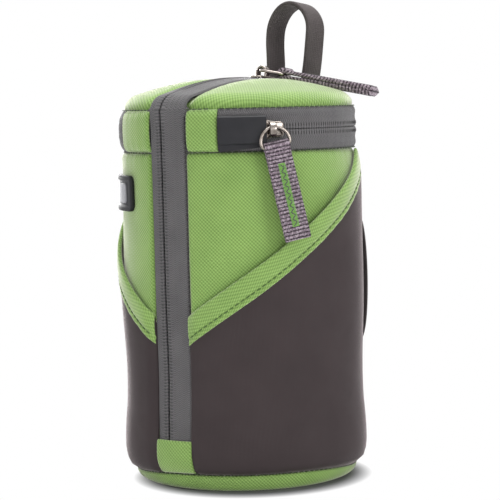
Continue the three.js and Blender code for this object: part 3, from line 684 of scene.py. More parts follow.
def stitch_row(name, place, path, stitch, lift, thread, body, slot):
    """Stitches of a length, gap and thickness along a path of cloth coordinates, at a lift over the cloth."""
    length, gap, thick = stitch
    path = np.asarray(path, float)
    line = place(path[:, 0], path[:, 1], np.full(len(path), lift))
    above = place(path[:, 0], path[:, 1], np.full(len(path), lift + 1.0))
    run = run_along(line)
    at = np.arange(gap + length / 2, run[-1] - length / 2, length + gap)
    middles, outs = between(at, run, line), between(at, run, above - line)
    alongs = between(at, run, np.gradient(line, run, axis=0))
    dress(sew(name, middles, alongs, outs, length, thick), thread, body, slot=slot)


print("a stitch has", len(stitch_template()[0]), "points")

# %% [markdown]
# ## Green cover of the wall
# One piece of cloth goes round the foam from one zip tape to the other. Its edges are turned under, and along
# the upper seam the stitches draw it into small puckers. The pockets hide its lower part.

# %% Wall cover
HEM = 1.3
COVER = 1.2
COVER_END = 360 + COVER_LEFT
COVER_SHARE = 0.94
PUCKER, PUCKER_REACH = 5.4, 3.5


def from_ends(value, start, end):
    """Distance from the nearer end of a span."""
    return np.minimum(value - start, end - value)


def pucker(distance, along, depth=0.16):
    """Small waves that a seam draws into cloth, dying away with distance."""
    turn = 2 * math.pi * along / PUCKER
    return depth * (np.sin(turn) + 0.6 * np.sin(turn / 2.7 + 1)) * np.exp(-distance / PUCKER_REACH)


def crease(distance, depth=1.0, width=1.5):
    """How far a seam draws cloth down, at a distance from it."""
    return depth * bell(distance, width)


def from_zip(angle):
    return from_ends(angle, COVER_RIGHT, COVER_END) / DEGREES_PER_MM


def wall_crown(angle, height):
    below = WALL_TOP - height
    upper = pucker(below, np.radians(angle) * WALL) - crease(below)
    return upper - crease(from_zip(angle), depth=0.5, width=1.2)


def wall_fold(angle, height):
    return hem(from_zip(angle), HEM, depth=1.1) + hem(WALL_TOP - height, HEM, depth=1.1)


us = spaced(COVER_RIGHT, COVER_END, 1.8, HEM * DEGREES_PER_MM)
vs = spaced(WALL_BOTTOM, WALL_TOP, 2.4, HEM)
wall_cover = cloth("wall_cover_cloth", on_wall(WALL), us, vs, COVER, wall_crown, wall_fold, wall_cloth_size)
dress(wall_cover, green_cloth, "case", ["wall_cover"])
width = 2 * math.pi * WALL * COVER_SHARE
declare(wall_cover, width, WALL_TOP - WALL_BOTTOM)

# %% [markdown]
# ## Zip band
# Green cloth closes the band at the fold of the lid, either side of the side zip. The rest of the band is the
# rim zip: a reversed coil zip, whose tapes show a smooth back and meet in one dark line.

# %% Green band at the fold
BAND_PUFF = 1.1
BAND_INSET = 0.8 * DEGREES_PER_MM


def band_crown(angle, height):
    share = (height - BAND_BOTTOM) / (BAND_TOP - BAND_BOTTOM)
    nearest = from_ends(height, BAND_BOTTOM, BAND_TOP)
    puff = BAND_PUFF * np.sin(math.pi * share) ** 0.6
    return puff + pucker(nearest, np.radians(angle) * WALL) - crease(nearest)


def band_cloth(side, start, end):
    def fold(angle, height):
        seams = from_ends(height, BAND_BOTTOM, BAND_TOP)
        return hem(from_ends(angle, start, end) / DEGREES_PER_MM, HEM, depth=1.0) + hem(seams, HEM, depth=1.1)

    us = spaced(start, end, 1.4, HEM * DEGREES_PER_MM)
    vs = spaced(BAND_BOTTOM, BAND_TOP, 1.3, HEM)
    piece = cloth(f"hinge_band_{side}_cloth", on_wall(WALL), us, vs, COVER, band_crown, fold, wall_cloth_size)
    dress(piece, green_cloth, "fold", [f"hinge_band_{side}"])
    declare(piece, (end - start) / DEGREES_PER_MM, BAND_TOP - BAND_BOTTOM)


band_cloth("right", COVER_RIGHT + BAND_INSET, BAND_RIGHT)
band_cloth("left", BAND_LEFT, COVER_LEFT + 0.3 * BAND_INSET)

# %% Rim zip tapes
GARAGE_START, GARAGE_END = angles_of("zip_garage")
RIM_ZIP_START = GARAGE_START
RIM_ZIP_END = 360 + BAND_LEFT - (GARAGE_START - BAND_RIGHT)
LINE_FADE = (306, 311)
TAPE_THICKNESS = 1.0
TAPE_ROLL = 0.6
RIM_GAP = 0.05
COIL_RIDGE, RIDGE_WIDTH = 0.35, 3.4
SEAM_ALLOWANCE = 2.0
TAPE_BULGE, TAPE_BULGE_ANGLE, TAPE_BULGE_REACH = 1.2, 319, 7
BACK_SAG, SAG_START = 0.5, 5


def ridge(distance):
    """The tape stands up a little over the coil behind it."""
    return COIL_RIDGE * (1 - smooth(distance, RIDGE_WIDTH * 0.7, RIDGE_WIDTH * 1.3))


def rim_sag(angle):
    """The tape stands out past the zip's left end and is drawn in a little round the back."""
    stop = TAPE_BULGE * bell(angle - TAPE_BULGE_ANGLE, TAPE_BULGE_REACH)
    return stop - BACK_SAG * bell(angle - BACK_ANGLE, BACK_REACH)


def rim_tape(half, body, low, high, seam):
    def crown(angle, height):
        from_seam = np.abs(height - seam)
        waves = pucker(from_seam, np.radians(angle) * WALL, depth=0.1)
        sag = rim_sag(angle) * smooth(from_seam, 0, SAG_START)
        return ridge(np.abs(height - ZIP_LINE)) + waves + sag - crease(from_seam, depth=0.8)

    def fold(angle, height):
        line = hem(np.abs(height - ZIP_LINE) - RIM_GAP, TAPE_ROLL, depth=0.9)
        shown = 1 - smooth(angle, *LINE_FADE)
        return line * shown + hem(np.abs(height - seam), HEM, depth=0.9)

    def flat(angle, height):
        return height - ZIP_LINE, np.radians(angle) * TAPE

    us, vs = spaced(RIM_ZIP_START, RIM_ZIP_END, 1.6), spaced(low, high, 0.9, TAPE_ROLL)
    piece = cloth(f"top_tape_{half}_cloth", on_wall(TAPE), us, vs, TAPE_THICKNESS, crown, fold, flat)
    dress(piece, zip_tape, body, [f"top_tape_{half}"])
    length = math.radians(RIM_ZIP_END - RIM_ZIP_START) * TAPE
    declare(piece, high - low + SEAM_ALLOWANCE, length)


rim_tape("lower", "case", BAND_BOTTOM, ZIP_LINE - RIM_GAP, BAND_BOTTOM)
rim_tape("upper", "lid", ZIP_LINE + RIM_GAP, BAND_TOP, BAND_TOP)

# %% [markdown]
# ## Side zip
# The side zip runs up the wall, over the lid's edge and across the lid to its end behind the grab loop. Each
# tape is one strip all the way, so it is laid on a run that follows the wall first and the dome next. It
# bends at the lid's fold. A green tab closes its lower end.

# %% The run of the side zip
RUN_ON_WALL = BAND_TOP - WALL_BOTTOM
TAPE_DEPTH = WALL - TAPE
profile_y = np.linspace(-RIM_R, RIM_R, 400)
profile_run = run_along(on_dome(np.zeros_like(profile_y), profile_y, np.zeros_like(profile_y)))
ZIP_RUN = RUN_ON_WALL + profile_run[-1]


def on_side_zip(across, along, lift):
    """Points beside the side zip's line, at a distance up the wall and then over the lid."""
    angle = np.degrees(across / TAPE)
    wall = on_wall(TAPE)(angle, WALL_BOTTOM + np.minimum(along, RUN_ON_WALL), lift)
    x = TAPE * np.sin(across / TAPE)
    middle = np.interp(along - RUN_ON_WALL, profile_run, profile_y)
    straight = np.sqrt(np.maximum(middle**2 - x**2 * (np.abs(middle) / RIM_R) ** 4, 0))
    lid = on_dome(x, np.sign(middle) * straight, lift - TAPE_DEPTH)
    return np.where((along <= RUN_ON_WALL)[..., None], wall, lid)


print(f"side zip is {ZIP_RUN:.0f} mm long, with {RUN_ON_WALL:.0f} mm of it on the wall")

# %% Side zip tapes
TAPE_LEFT = -math.radians(angles_of("side_tape_left")[0]) * TAPE
TAPE_RIGHT = math.radians(angles_of("side_tape_right")[1]) * TAPE
ZIP_GAP = 0.42
TAPE_TUCK = 1.5
UNDER_COVER = 3.4
SHOULDER_LIFT, SHOULDER_RUN, SHOULDER_REACH = 0.7, RUN_ON_WALL + 5, 9
FINE_RUN = RUN_ON_WALL - 8


def on_lid(along):
    return smooth(along, RUN_ON_WALL - 2, RUN_ON_WALL + 3)


def side_tape(side, sign, seam):
    """A tape from the zip's line to its seam. It runs on under the wall's cover, and lies over the lid's."""
    def place(across, along, lift):
        past = np.maximum(np.abs(across) - seam, 0)
        return on_side_zip(across - np.sign(across) * past * 0.95 * on_lid(along), along, lift)

    def crown(across, along):
        proud = SHOULDER_LIFT * bell(along - SHOULDER_RUN, SHOULDER_REACH)
        under = TAPE_TUCK * smooth(np.abs(across), seam - 1.0, seam + 0.7) * (1 - on_lid(along))
        return ridge(np.abs(across)) + proud - under

    def fold(across, along):
        outer = 0.9 * smooth(np.abs(across), seam - 0.5, seam + 0.4) * on_lid(along)
        return hem(np.abs(across) - ZIP_GAP, TAPE_ROLL, depth=0.9) + outer

    distances = spaced(ZIP_GAP, seam + UNDER_COVER, 0.7, TAPE_ROLL)
    us = distances if sign > 0 else -distances[::-1]
    vs = np.concatenate([np.arange(0, FINE_RUN, 2.0), np.arange(FINE_RUN, ZIP_RUN, 1.0), [ZIP_RUN]])
    piece = cloth(f"side_tape_{side}_cloth", place, us, vs, TAPE_THICKNESS, crown, fold)
    dress(piece, zip_tape, "fold", [f"side_tape_{side}", f"lid_tape_{side}"])
    declare(piece, seam + UNDER_COVER, ZIP_RUN)


side_tape("left", -1, TAPE_LEFT)
side_tape("right", 1, TAPE_RIGHT)

# %% End tab
TAB_HEIGHT = heights_of("side_end_tab")[1] - WALL_BOTTOM
TAB_LIFT = 1.5
TAB_CLOTH = 1.1


def tab_fold(across, along):
    edges = (from_ends(across, -TAPE_LEFT, TAPE_RIGHT), TAB_HEIGHT - along, along)
    return sum(hem(edge, HEM, depth=1.0) for edge in edges)


def tab_crown(across, along):
    return TAB_LIFT + 0.3 * np.sin(math.pi * along / TAB_HEIGHT)


us, vs = spaced(-TAPE_LEFT, TAPE_RIGHT, 1.2, HEM), spaced(0, TAB_HEIGHT, 1.2, HEM)
end_tab = cloth("end_tab_cloth", on_side_zip, us, vs, TAB_CLOTH, tab_crown, tab_fold)
dress(end_tab, green_cloth, "case", ["side_end_tab"])
declare(end_tab, TAPE_LEFT + TAPE_RIGHT, TAB_HEIGHT)

# %% [markdown]
# ## Coils behind the tapes
# The coil is a nylon thread wound into a flat spiral and sewn to the back of each tape. It shows when the lid
# is open. A helix along the tape's own run makes it, one wire for each tape, and a row of stitches on the
# face shows where it is sewn.

# %% Zip coils and their stitches
COIL_WIDTH, COIL_LOCK, COIL_DEPTH = 2.8, 0.7, 2.0
COIL_WIRE, COIL_SIDES = 0.34, 5
COIL_PITCH, COIL_STEPS = 1.5, 10
COIL_ROUND = 0.32
OFF_AXIS = np.array([0.013, 0.021, 0.017])
TICK_LINE, TICK, TICK_THICK = 1.8, 1.5, 0.46
ZIP_STOP = 307
ZIP_SEAM_STITCH = (1.6, 0.5, 0.7)
ZIP_SEAM_OUT, ZIP_SEAM_LIFT = 0.15, -0.45
RIM_START, RIM_END = math.radians(RIM_ZIP_START) * TAPE, math.radians(RIM_ZIP_END) * TAPE


def wind_coil(name, place, start, end, sign, body, stands_for):
    """A flat spiral along a run. It reaches past the zip's line, between the turns of the other side."""
    turns = (end - start) / COIL_PITCH
    turn = np.linspace(0, turns * 2 * math.pi, int(turns * COIL_STEPS))
    half = (COIL_WIDTH + COIL_LOCK) / 2 - COIL_WIRE
    across = sign * (COIL_WIDTH - COIL_LOCK) / 2 + half * np.cos(turn)
    along = start + (turn / (2 * math.pi)) * COIL_PITCH
    depth = COIL_ROUND * np.sin(turn) - COIL_DEPTH
    path = place(across, along, depth)
    away = unit(place(across, along, depth + 1) - path)
    piece = tube(name, path, COIL_WIRE, COIL_SIDES, away.mean(axis=0) + OFF_AXIS)
    dress(piece, zip_coil, body, stands_for)
    print(f"{name}: {turns:.0f} turns")


def on_rim(across, along, lift):
    angle = np.degrees(along / TAPE)
    return on_wall(TAPE)(angle, ZIP_LINE + across, lift + rim_sag(angle))


def zip_ticks(name, place, sign, start, end, body):
    """Short stitches across a tape, where each turn of the coil is caught."""
    along = np.arange(start, end, ZIP_PITCH)
    lift = np.full_like(along, COIL_RIDGE + 0.02)
    inner, outer = (np.full_like(along, sign * (TICK_LINE + reach)) for reach in (-TICK / 2, TICK / 2))
    first, last = place(inner, along, lift), place(outer, along, lift)
    above = place(inner, along, lift + 1.0) - first
    ticks = sew(name, (first + last) / 2, last - first, above, TICK, TICK_THICK)
    dress(ticks, dark_thread, body, slot="zip_tape")


for half, body, sign in (("lower", "case", -1), ("upper", "lid", 1)):
    wind_coil(f"top_coil_{half}_wire", on_rim, RIM_START + 1, RIM_END - 1, sign, body, [f"top_coil_{half}"])
    zip_ticks(f"top_zip_stitches_{half}", on_rim, sign, RIM_START + 1, math.radians(ZIP_STOP) * TAPE, body)
for side, sign in (("left", -1), ("right", 1)):
    stands_for = [f"side_coil_{side}", f"lid_coil_{side}"]
    wind_coil(f"side_coil_{side}_wire", on_side_zip, 2, ZIP_RUN - 2, sign, "fold", stands_for)
    zip_ticks(f"side_zip_stitches_{side}", on_side_zip, sign, TAB_HEIGHT + 1, ZIP_RUN - 4, "fold")
path = [(TAPE_RIGHT + ZIP_SEAM_OUT, along) for along in np.arange(0, RUN_ON_WALL - 1, 1.5)]
stitch_row("side_zip_seam", on_side_zip, path, ZIP_SEAM_STITCH, ZIP_SEAM_LIFT, dark_thread, "case",
           "zip_tape")

# %% Seams along the band
SEAM_STITCH = (2.3, 0.5, 0.6)
SEAM_LIFT, RIM_SEAM_LIFT = -0.65, -0.85
low_seam, high_seam = (WALL_TOP + BAND_BOTTOM) / 2, (BAND_TOP + LID_RIM) / 2
LEVELS = (("low", low_seam, "case", "case"), ("high", high_seam, "fold", "lid"))  # bodies of band and rim


def seam_row(name, radius, height, lift, angles, body):
    path = [(angle, height) for angle in angles]
    stitch_row(name, on_wall(radius), path, SEAM_STITCH, lift, seam_thread, body, "green_cloth")


for side, start, end in (("right", COVER_RIGHT, BAND_RIGHT), ("left", BAND_LEFT, COVER_LEFT)):
    for level, height, body, _ in LEVELS:
        seam_row(f"band_{level}_seam_{side}", WALL, height, SEAM_LIFT, np.arange(start, end, 1.5), body)
for level, height, _, body in LEVELS:
    angles = np.arange(RIM_ZIP_START, RIM_ZIP_END, 2.0)
    seam_row(f"rim_{level}_seam", TAPE, height, RIM_SEAM_LIFT, angles, body)
print(f"seams at {low_seam:.1f} and {high_seam:.1f} mm")

# %% [markdown]
# ## Stretch pockets
# Each pocket is one piece of knit, sewn into the base and at the back, with a slanted edge that rises from
# the side zip. The cloth is full low down, and its taped edge stands off the wall, which leaves a dark gap.

# %% Pocket cloth
def front_height(node):
    """Height of a pocket's edge at its front, beside the side zip."""
    x, y, height = corners_of(node).T
    angle = np.abs(np.degrees(np.arctan2(x, -y)))
    return float(height[angle < angle.min() + 0.01].max())


POCKET_TOP = heights_of("pocket_right")[1]
POCKET_FRONT = front_height("pocket_right")
POCKET_SLOPE = 0.7
EDGE_RISE, EDGE_RISE_SPAN = 2.4, (30, 75)
BINDING_RUN = (POCKET_TOP - POCKET_FRONT - EDGE_RISE) / POCKET_SLOPE
UNDER_BINDING = 1.2
BULGE, BULGE_HEIGHT = 0.6, 26.0
FLARES, FLARE_REACH = {"right": 2.3, "left": 0.5}, 30.0
FRONT_LAP, FRONT_DIP, FRONT_REACH = 0.7, 1.3, 4.0
BACK_SEAM = 0.15 * DEGREES_PER_MM
LAP = FRONT_LAP * DEGREES_PER_MM


def edge_run(angle, side):
    """Distance round the wall from a pocket's front edge."""
    return (angle - COVER_RIGHT if side == "right" else COVER_LEFT - angle) / DEGREES_PER_MM


def pocket_edge(angle, side):
    run = edge_run(angle, side)
    height = POCKET_FRONT + POCKET_SLOPE * run + EDGE_RISE * smooth(run, *EDGE_RISE_SPAN)
    return np.minimum(POCKET_TOP, height)


def stand_off(angle, height, side):
    """How far the pocket stands off the wall: full low down, and open along its edge."""
    run = np.clip(edge_run(angle, side) / BINDING_RUN, 0, 1)
    below = np.maximum(pocket_edge(angle, side) - height, 0)
    bulge = BULGE * np.sin(math.pi * np.clip((height - WALL_BOTTOM) / BULGE_HEIGHT, 0, 1))
    front = FRONT_DIP * (1 - smooth(edge_run(angle, side), -FRONT_LAP, FRONT_REACH))
    return bulge + FLARES[side] * np.sin(math.pi * run) * (1 - smooth(below, 0, FLARE_REACH)) - front


def pocket_cloth(side, start, end):
    def place(angle, share, lift):
        height = WALL_BOTTOM + share * (pocket_edge(angle, side) - UNDER_BINDING - WALL_BOTTOM)
        return on_wall(POCKET_R)(angle, height, lift + stand_off(angle, height, side))

    def fold(angle, share):
        return hem(edge_run(angle, side) + FRONT_LAP, width=1.0, depth=1.1)

    def flat(angle, share):
        return np.radians(angle) * WALL, WALL_BOTTOM + share * (pocket_edge(angle, side) - WALL_BOTTOM)

    us = spaced(start, end, 1.8, 0.8 * DEGREES_PER_MM)
    piece = cloth(f"pocket_{side}_cloth", place, us, spaced(0, 1, 0.022), POCKET, None, fold, flat)
    dress(piece, stretch_cloth, "case", [f"pocket_{side}"])
    width = (end - start) / DEGREES_PER_MM
    area = float(np.mean(pocket_edge(np.linspace(start, end, 90), side) - WALL_BOTTOM)) * width
    declare(piece, width, POCKET_TOP - WALL_BOTTOM, area)


pocket_cloth("right", COVER_RIGHT - LAP, 180 - BACK_SEAM)
pocket_cloth("left", -180 + BACK_SEAM, COVER_LEFT + LAP)

# %% [markdown]
# ## Tape on the pocket edges
# A green tape is folded over each pocket's edge and sewn through near its lower side. Its section is a long
# outer leg, a round fold and a short lip inside, so it is laid along that section from end to end.

# %% Pocket bindings
BINDING, BINDING_WIDTH = 0.7, 12.3
BINDING_FOLD, FOLD_RISE = 1.0, 0.7
LIP = 1.6
STITCH_UP, STITCH_GROOVE, GROOVE_WIDTH = 2.9, 0.45, 0.8
BINDING_PUFF = 0.35
BINDING_STITCH = (2.1, 0.8, 0.6)
STITCH_LIFT = -0.1


def binding_section():
    """The tape's section as stand-off from the pocket and height under its edge."""
    turn = np.linspace(0, math.pi, 9)[1:]
    bend = np.stack([
        BINDING - BINDING_FOLD + BINDING_FOLD * np.cos(turn),
        -BINDING_FOLD + (BINDING_FOLD + FOLD_RISE) * np.sin(turn),
    ], axis=-1)
    outer = [(BINDING, -BINDING_WIDTH), (BINDING, -BINDING_FOLD)]
    return np.concatenate([outer, bend, [(BINDING - 2 * BINDING_FOLD, -BINDING_FOLD - LIP)]])


section_points = binding_section()
section_run = run_along(section_points)


def binding_cloth(side, start, end):
    def place(angle, along, lift):
        out, under = np.moveaxis(between(along, section_run, section_points), -1, 0)
        height = pocket_edge(angle, side) + under
        inside = smooth(along, section_run[1], section_run[-2])
        away = out + lift * (1 - 2 * inside) + stand_off(angle, height, side)
        return on_wall(POCKET_R)(angle, height, away)

    def crown(angle, along):
        share = np.clip((along - STITCH_UP) / (BINDING_WIDTH - STITCH_UP), 0, 1)
        puff = BINDING_PUFF * np.sin(math.pi * share)
        groove = STITCH_GROOVE * bell(along - STITCH_UP, GROOVE_WIDTH)
        return puff - groove + pucker(along, edge_run(angle, side), depth=0.1)

    def fold(angle, along):
        return hem(along, width=0.7, depth=0.6) + hem(edge_run(angle, side) + FRONT_LAP, width=0.8, depth=0.5)

    def flat(angle, along):
        return edge_run(angle, side), along

    us = spaced(start, end, 1.4, 0.8 * DEGREES_PER_MM)
    vs = np.concatenate([spaced(0, section_run[1], 0.6, 0.6), section_run[2:]])
    piece = cloth(f"pocket_binding_{side}_tape", place, us, vs, BINDING * 0.85, crown, fold, flat)
    dress(piece, green_tape, "case", [f"pocket_binding_{side}"])
    slope = math.hypot(1, POCKET_SLOPE)
    declare(piece, section_run[-1] / slope, BINDING_RUN * slope)
    path = [(angle, STITCH_UP) for angle in np.arange(start + 0.6, end - 0.6, 1.0)]
    name = f"pocket_stitches_{side}"
    stitch_row(name, place, path, BINDING_STITCH, STITCH_LIFT, green_thread, "case", "green_cloth")


RUN_ANGLE = BINDING_RUN * DEGREES_PER_MM
binding_cloth("right", COVER_RIGHT - LAP, COVER_RIGHT + RUN_ANGLE)
binding_cloth("left", COVER_LEFT - RUN_ANGLE, COVER_LEFT + LAP)

# %% [markdown]
# ## Base
# The base is a shallow green cup of the same cloth. The wall rolls in to meet it, and its own side leans
# under to the flat it stands on. A revolve of its profile makes it, and the base seam hides under the wall.

# %% Base cup
BASE_R = radius_of("base_panel")
BASE_HEIGHT = heights_of("base_panel")[1]
BASE_CLOTH = 1.5
BASE_FLAT_R = 47.0
BASE_FLAT = [0.5, 8.0, 20.0, 34.0]
BASE_STITCH = (2.3, 0.5, 0.7)


def base_section():
    """Radius and height along the cup, from its middle to its upper edge."""
    turn = np.linspace(math.pi / 2, 0, 14)
    side_r = BASE_FLAT_R + (BASE_R - 0.1 - BASE_FLAT_R) * np.cos(turn)
    side_z = (BASE_HEIGHT - 1.0) * (1 - np.sin(turn))
    rs = np.concatenate([BASE_FLAT, side_r, [BASE_R - 0.5, BASE_R - 1.3]])
    return rs, np.concatenate([np.zeros(len(BASE_FLAT)), side_z, [BASE_HEIGHT - 0.3, BASE_HEIGHT - 0.2]])


def on_section(rs, zs):
    """A place function for a section that is turned round the middle, and runs along the section."""
    section = np.stack([rs, zs], axis=-1)
    run = run_along(section)
    slope = np.stack([np.gradient(zs, run), -np.gradient(rs, run)], axis=-1)

    def place(angle, along, lift):
        points = between(along, run, section) + unit(between(along, run, slope)) * lift[..., None]
        return turned(points[..., 0], angle, points[..., 1])

    return place, run


def base_cup():
    section, run = on_section(*base_section())

    def place(angle, along, lift):
        points = section(angle, along, lift)
        points[..., 2] *= 1 - seam_dip(angle) / BASE_HEIGHT
        return points

    def flat(angle, along):
        return np.radians(angle) * BASE_R, along

    us = np.arange(180, 540, 3.0)
    piece = cloth("base_cloth", place, us, run, BASE_CLOTH, flat=flat, around=True)
    dress(piece, green_cloth, "case", ["base_panel"])
    path = [(angle, WALL_BOTTOM - 0.1) for angle in np.arange(-180, 180.1, 1.5)]
    on_pockets = on_wall(POCKET_R)
    stitch_row("base_seam", on_pockets, path, BASE_STITCH, STITCH_LIFT, seam_thread, "case", "green_cloth")
    print(f"base cup: seam radius {BASE_R:.1f} mm")


base_cup()

# %% [markdown]
# ## Padding and lining
# Inside, foam is covered by a pale brushed lining, and a grey tape closes the wall's upper edge. Foam and
# lining are made as one padded piece each for the wall, the floor and the two halves of the lid, because the
# foam itself never shows.

# %% Wall padding and rim tape
LINING_R = float(np.hypot(*corners_of("wall_lining")[:, :2].T).min())
FOAM_CLEAR = 0.2
PAD_R = radius_of("wall_foam") - FOAM_CLEAR
CHANNEL = 5.9
PAD_START, PAD_END = CHANNEL * DEGREES_PER_MM, 360 - CHANNEL * DEGREES_PER_MM
LINED_BOTTOM = heights_of("wall_lining")[0] + 1.2
RIM_LIP = 4.5
RIM_TAPE = 0.6


def wall_padding():
    def place(angle, height, lift):
        r = PAD_R + lift
        outside = lift > -1
        return turned(np.where(outside, r + np.minimum(slack(angle, height), 0), r), angle, height)

    def fold(angle, height):
        ends = from_ends(angle, PAD_START, PAD_END) / DEGREES_PER_MM
        return hem(ends, width=3.0, depth=2.5) + hem(WALL_TOP - height, width=2.0, depth=1.5)

    us = spaced(PAD_START, PAD_END, 3.0, 3.0 * DEGREES_PER_MM)
    vs = spaced(LINED_BOTTOM, WALL_TOP, 4.0, 2.0)
    piece = cloth("wall_lining_pad", place, us, vs, PAD_R - LINING_R, None, fold, wall_cloth_size)
    dress(piece, lining, "case", ["wall_lining", "wall_foam"])


def rim_binding_tape():
    low, high = heights_of("rim_binding")
    bend = np.linspace(math.pi / 2, math.pi, 7)
    corner = high - low + 0.5
    inner = LINING_R - 0.3
    rs = np.concatenate([[PAD_R], inner + corner * (1 + np.cos(bend)), [inner]])
    zs = np.concatenate([[high - 0.3], high - corner + corner * np.sin(bend), [low - RIM_LIP]])
    place, run = on_section(rs, zs)

    def flat(angle, along):
        return along + RIBBED_REACH, np.radians(angle) * WALL

    us, vs = spaced(PAD_START, PAD_END, 3.0), spaced(0, run[-1], 0.7)
    piece = cloth("rim_binding_tape", place, us, vs, RIM_TAPE, flat=flat)
    dress(piece, zip_tape, "case", ["rim_binding"])
    middle_r = (radius_of("wall_foam") + LINING_R) / 2
    declare(piece, run[-1], math.radians(PAD_END - PAD_START) * middle_r)


wall_padding()
rim_binding_tape()

# %% Floor pad
FLOOR_HEM, FLOOR_CROWN = 4, 0.6


def floor_pad():
    low, high = heights_of("base_foam")[0], heights_of("base_lining")[1]
    edge = radius_of("base_foam")

    def place(angle, r, lift):
        return turned(r, angle, high + lift)

    def crown(angle, r):
        return FLOOR_CROWN * (1 - (r / edge) ** 2)

    def fold(angle, r):
        return hem(edge - r, FLOOR_HEM, depth=2.5)

    def flat(angle, r):
        return r * np.sin(np.radians(angle)), r * np.cos(np.radians(angle))

    rim = edge - FLOOR_HEM * (1 - np.array(HEM_STEPS[1:]))
    rs = np.concatenate([[1.0], spaced(6, edge - FLOOR_HEM, 5.0), rim])
    us = np.arange(0, 360, 5.0)
    piece = cloth("base_lining_pad", place, us, rs, high - low, crown, fold, flat, around=True)
    dress(piece, lining, "case", ["base_lining", "base_foam"])
    print(f"floor pad: radius {edge:.0f} mm")


floor_pad()

# %% [markdown]
# ## Lid
# The lid's cover is two green panels, one each side of the zip, sewn to the zip band along the rim. The
# padding makes them swell a little between their seams. A panel's cloth coordinates run from the zip to the
# rim, so that its grid follows both of its edges.

# %% Half-dome coordinates
PANEL_TIPS = np.array([0.975, 0.99, 0.998])
PANEL_ALONG = np.concatenate([-PANEL_TIPS[::-1], np.linspace(-0.955, 0.955, 60), PANEL_TIPS])
PANEL_RIM = 1 - 0.13 * (1 - np.linspace(0, 1, 14)) ** 1.8
PANEL_ACROSS = np.concatenate([[0, 0.006, 0.016, 0.032], np.linspace(0.06, 0.84, 24), PANEL_RIM])


def lid_plan(edge, sign, rim):
    """Place in plan from a share across, zip to rim, and a share along, front to back."""
    half = math.sqrt(rim**2 - edge**2)
    reach = math.acos(edge / rim)

    def plan(across, along):
        x = edge + across * (rim * np.cos(along * reach) - edge)
        y = along * half + across * (rim * np.sin(along * reach) - along * half)
        return sign * x, y

    return plan


print("lid panel grid:", len(PANEL_ACROSS), "by", len(PANEL_ALONG))

# %% Lid panels and padding
LID_PUFF, LID_PUFF_REACH = 0.7, 11
LID_HEM = 1.5
LID_LAP, LID_SINK, LID_SINK_REACH = 1.0, 1.9, 3.5
RIM_FALL = 1.7
RIM_TURN = 4
DOME_AREA = 1.1
RIM_SPAN, ZIP_SPAN = 70, 55
PAD_INSET, PAD_CLEAR = 2.4, 0.4
PAD_SAG_REACH = 9


def zip_sink(beside):
    """How far the lid's cloth is pressed down by the zip tape that lies on it."""
    return LID_SINK * (1 - smooth(beside, 0, LID_SINK_REACH))


def lid_panel(side, sign, seam):
    edge = seam - LID_LAP
    plan = lid_plan(edge, sign, RIM_R)

    def from_edges(across, along):
        x, y = plan(across, along)
        return np.abs(x) - seam, (RIM_R - np.hypot(x, y)) * RIM_FALL

    def place(across, along, lift):
        return on_dome(*plan(across, along), lift)

    def crown(across, along):
        zip_side, rim_side = from_edges(across, along)
        swell = LID_PUFF * smooth(np.minimum(zip_side, rim_side), 0, LID_PUFF_REACH)
        rim_waves = pucker(rim_side, along * RIM_SPAN)
        zip_waves = pucker(np.maximum(zip_side, 0), along * ZIP_SPAN, depth=0.08)
        return swell + (rim_waves + zip_waves) - crease(rim_side, width=1.8) - zip_sink(zip_side)

    def fold(across, along):
        return hem(from_edges(across, along)[1], LID_HEM, depth=1.1)

    piece = cloth(f"lid_panel_{side}_cloth", place, PANEL_ACROSS, PANEL_ALONG, COVER, crown, fold, plan)
    dress(piece, green_cloth, "lid", [f"lid_panel_{side}"])
    area = RIM_R**2 * math.acos(edge / RIM_R) - edge * math.sqrt(RIM_R**2 - edge**2)
    width, length = RIM_R + RIM_TURN - edge, 2 * (RIM_R + RIM_TURN)
    declare(piece, width, length, area * DOME_AREA)


def lid_pad(side, sign, seam):
    rim = RIM_R - PAD_INSET
    plan = lid_plan(CHANNEL, sign, rim)

    def place(across, along, lift):
        x, y = plan(across, along)
        upper = on_dome(x, y, -COVER - PAD_CLEAR - zip_sink(np.abs(x) - seam))
        sag = smooth(np.minimum(np.abs(x) - CHANNEL, rim - np.hypot(x, y)), 0, PAD_SAG_REACH)
        lower = np.stack([x, y, LID_RIM + 0.2 - sag], axis=-1)
        return np.where((lift < -0.5)[..., None], lower, upper)

    piece = cloth(f"lid_lining_{side}_pad", place, PANEL_ACROSS, PANEL_ALONG, 1.0, flat=plan)
    dress(piece, lining, "lid", [f"lid_lining_{side}", f"lid_foam_{side}"])


for side, sign, seam in (("left", -1, TAPE_LEFT), ("right", 1, TAPE_RIGHT)):
    lid_pad(side, sign, seam)
    lid_panel(side, sign, seam)

# %% [markdown]
# ## Webbing loops
# The grab loop is a strap that stands up from the lid, a little narrower at its foot than half way up. A
# strap is a cloth laid along a path, so the function that makes it makes the pulls as well. The belt loop is
# a wide strap behind: it lies on the pockets where it is sewn, above and below, and stands off them between.

# %% Grab loop
LOOP_X = float(corners_of("grab_loop")[:, 0].min() + corners_of("grab_loop")[:, 0].max()) / 2
LOOP_HALF = float(np.ptp(corners_of("grab_loop")[:, 0])) / 2 - 1
LOOP_Y, LOOP_LEAN = 37.5, math.radians(6)
LOOP_WIDTH, LOOP_THICKNESS = 12.4, 1.9
LOOP_PINCH = 1.7
LOOP_ROUND = 1.12
LOOP_WAVE, LOOP_WAVE_RUN = 0.12, 3.1


def strap(points, side):
    """A place function for cloth along a path, and the path's length."""
    points, side = np.asarray(points, float), np.asarray(side, float)
    run = run_along(points)
    outs = unit(np.cross(np.gradient(points, run, axis=0), side))

    def place(across, along, lift):
        out = unit(between(along, run, outs))
        return between(along, run, points) + across[..., None] * side + lift[..., None] * out

    return place, run[-1]


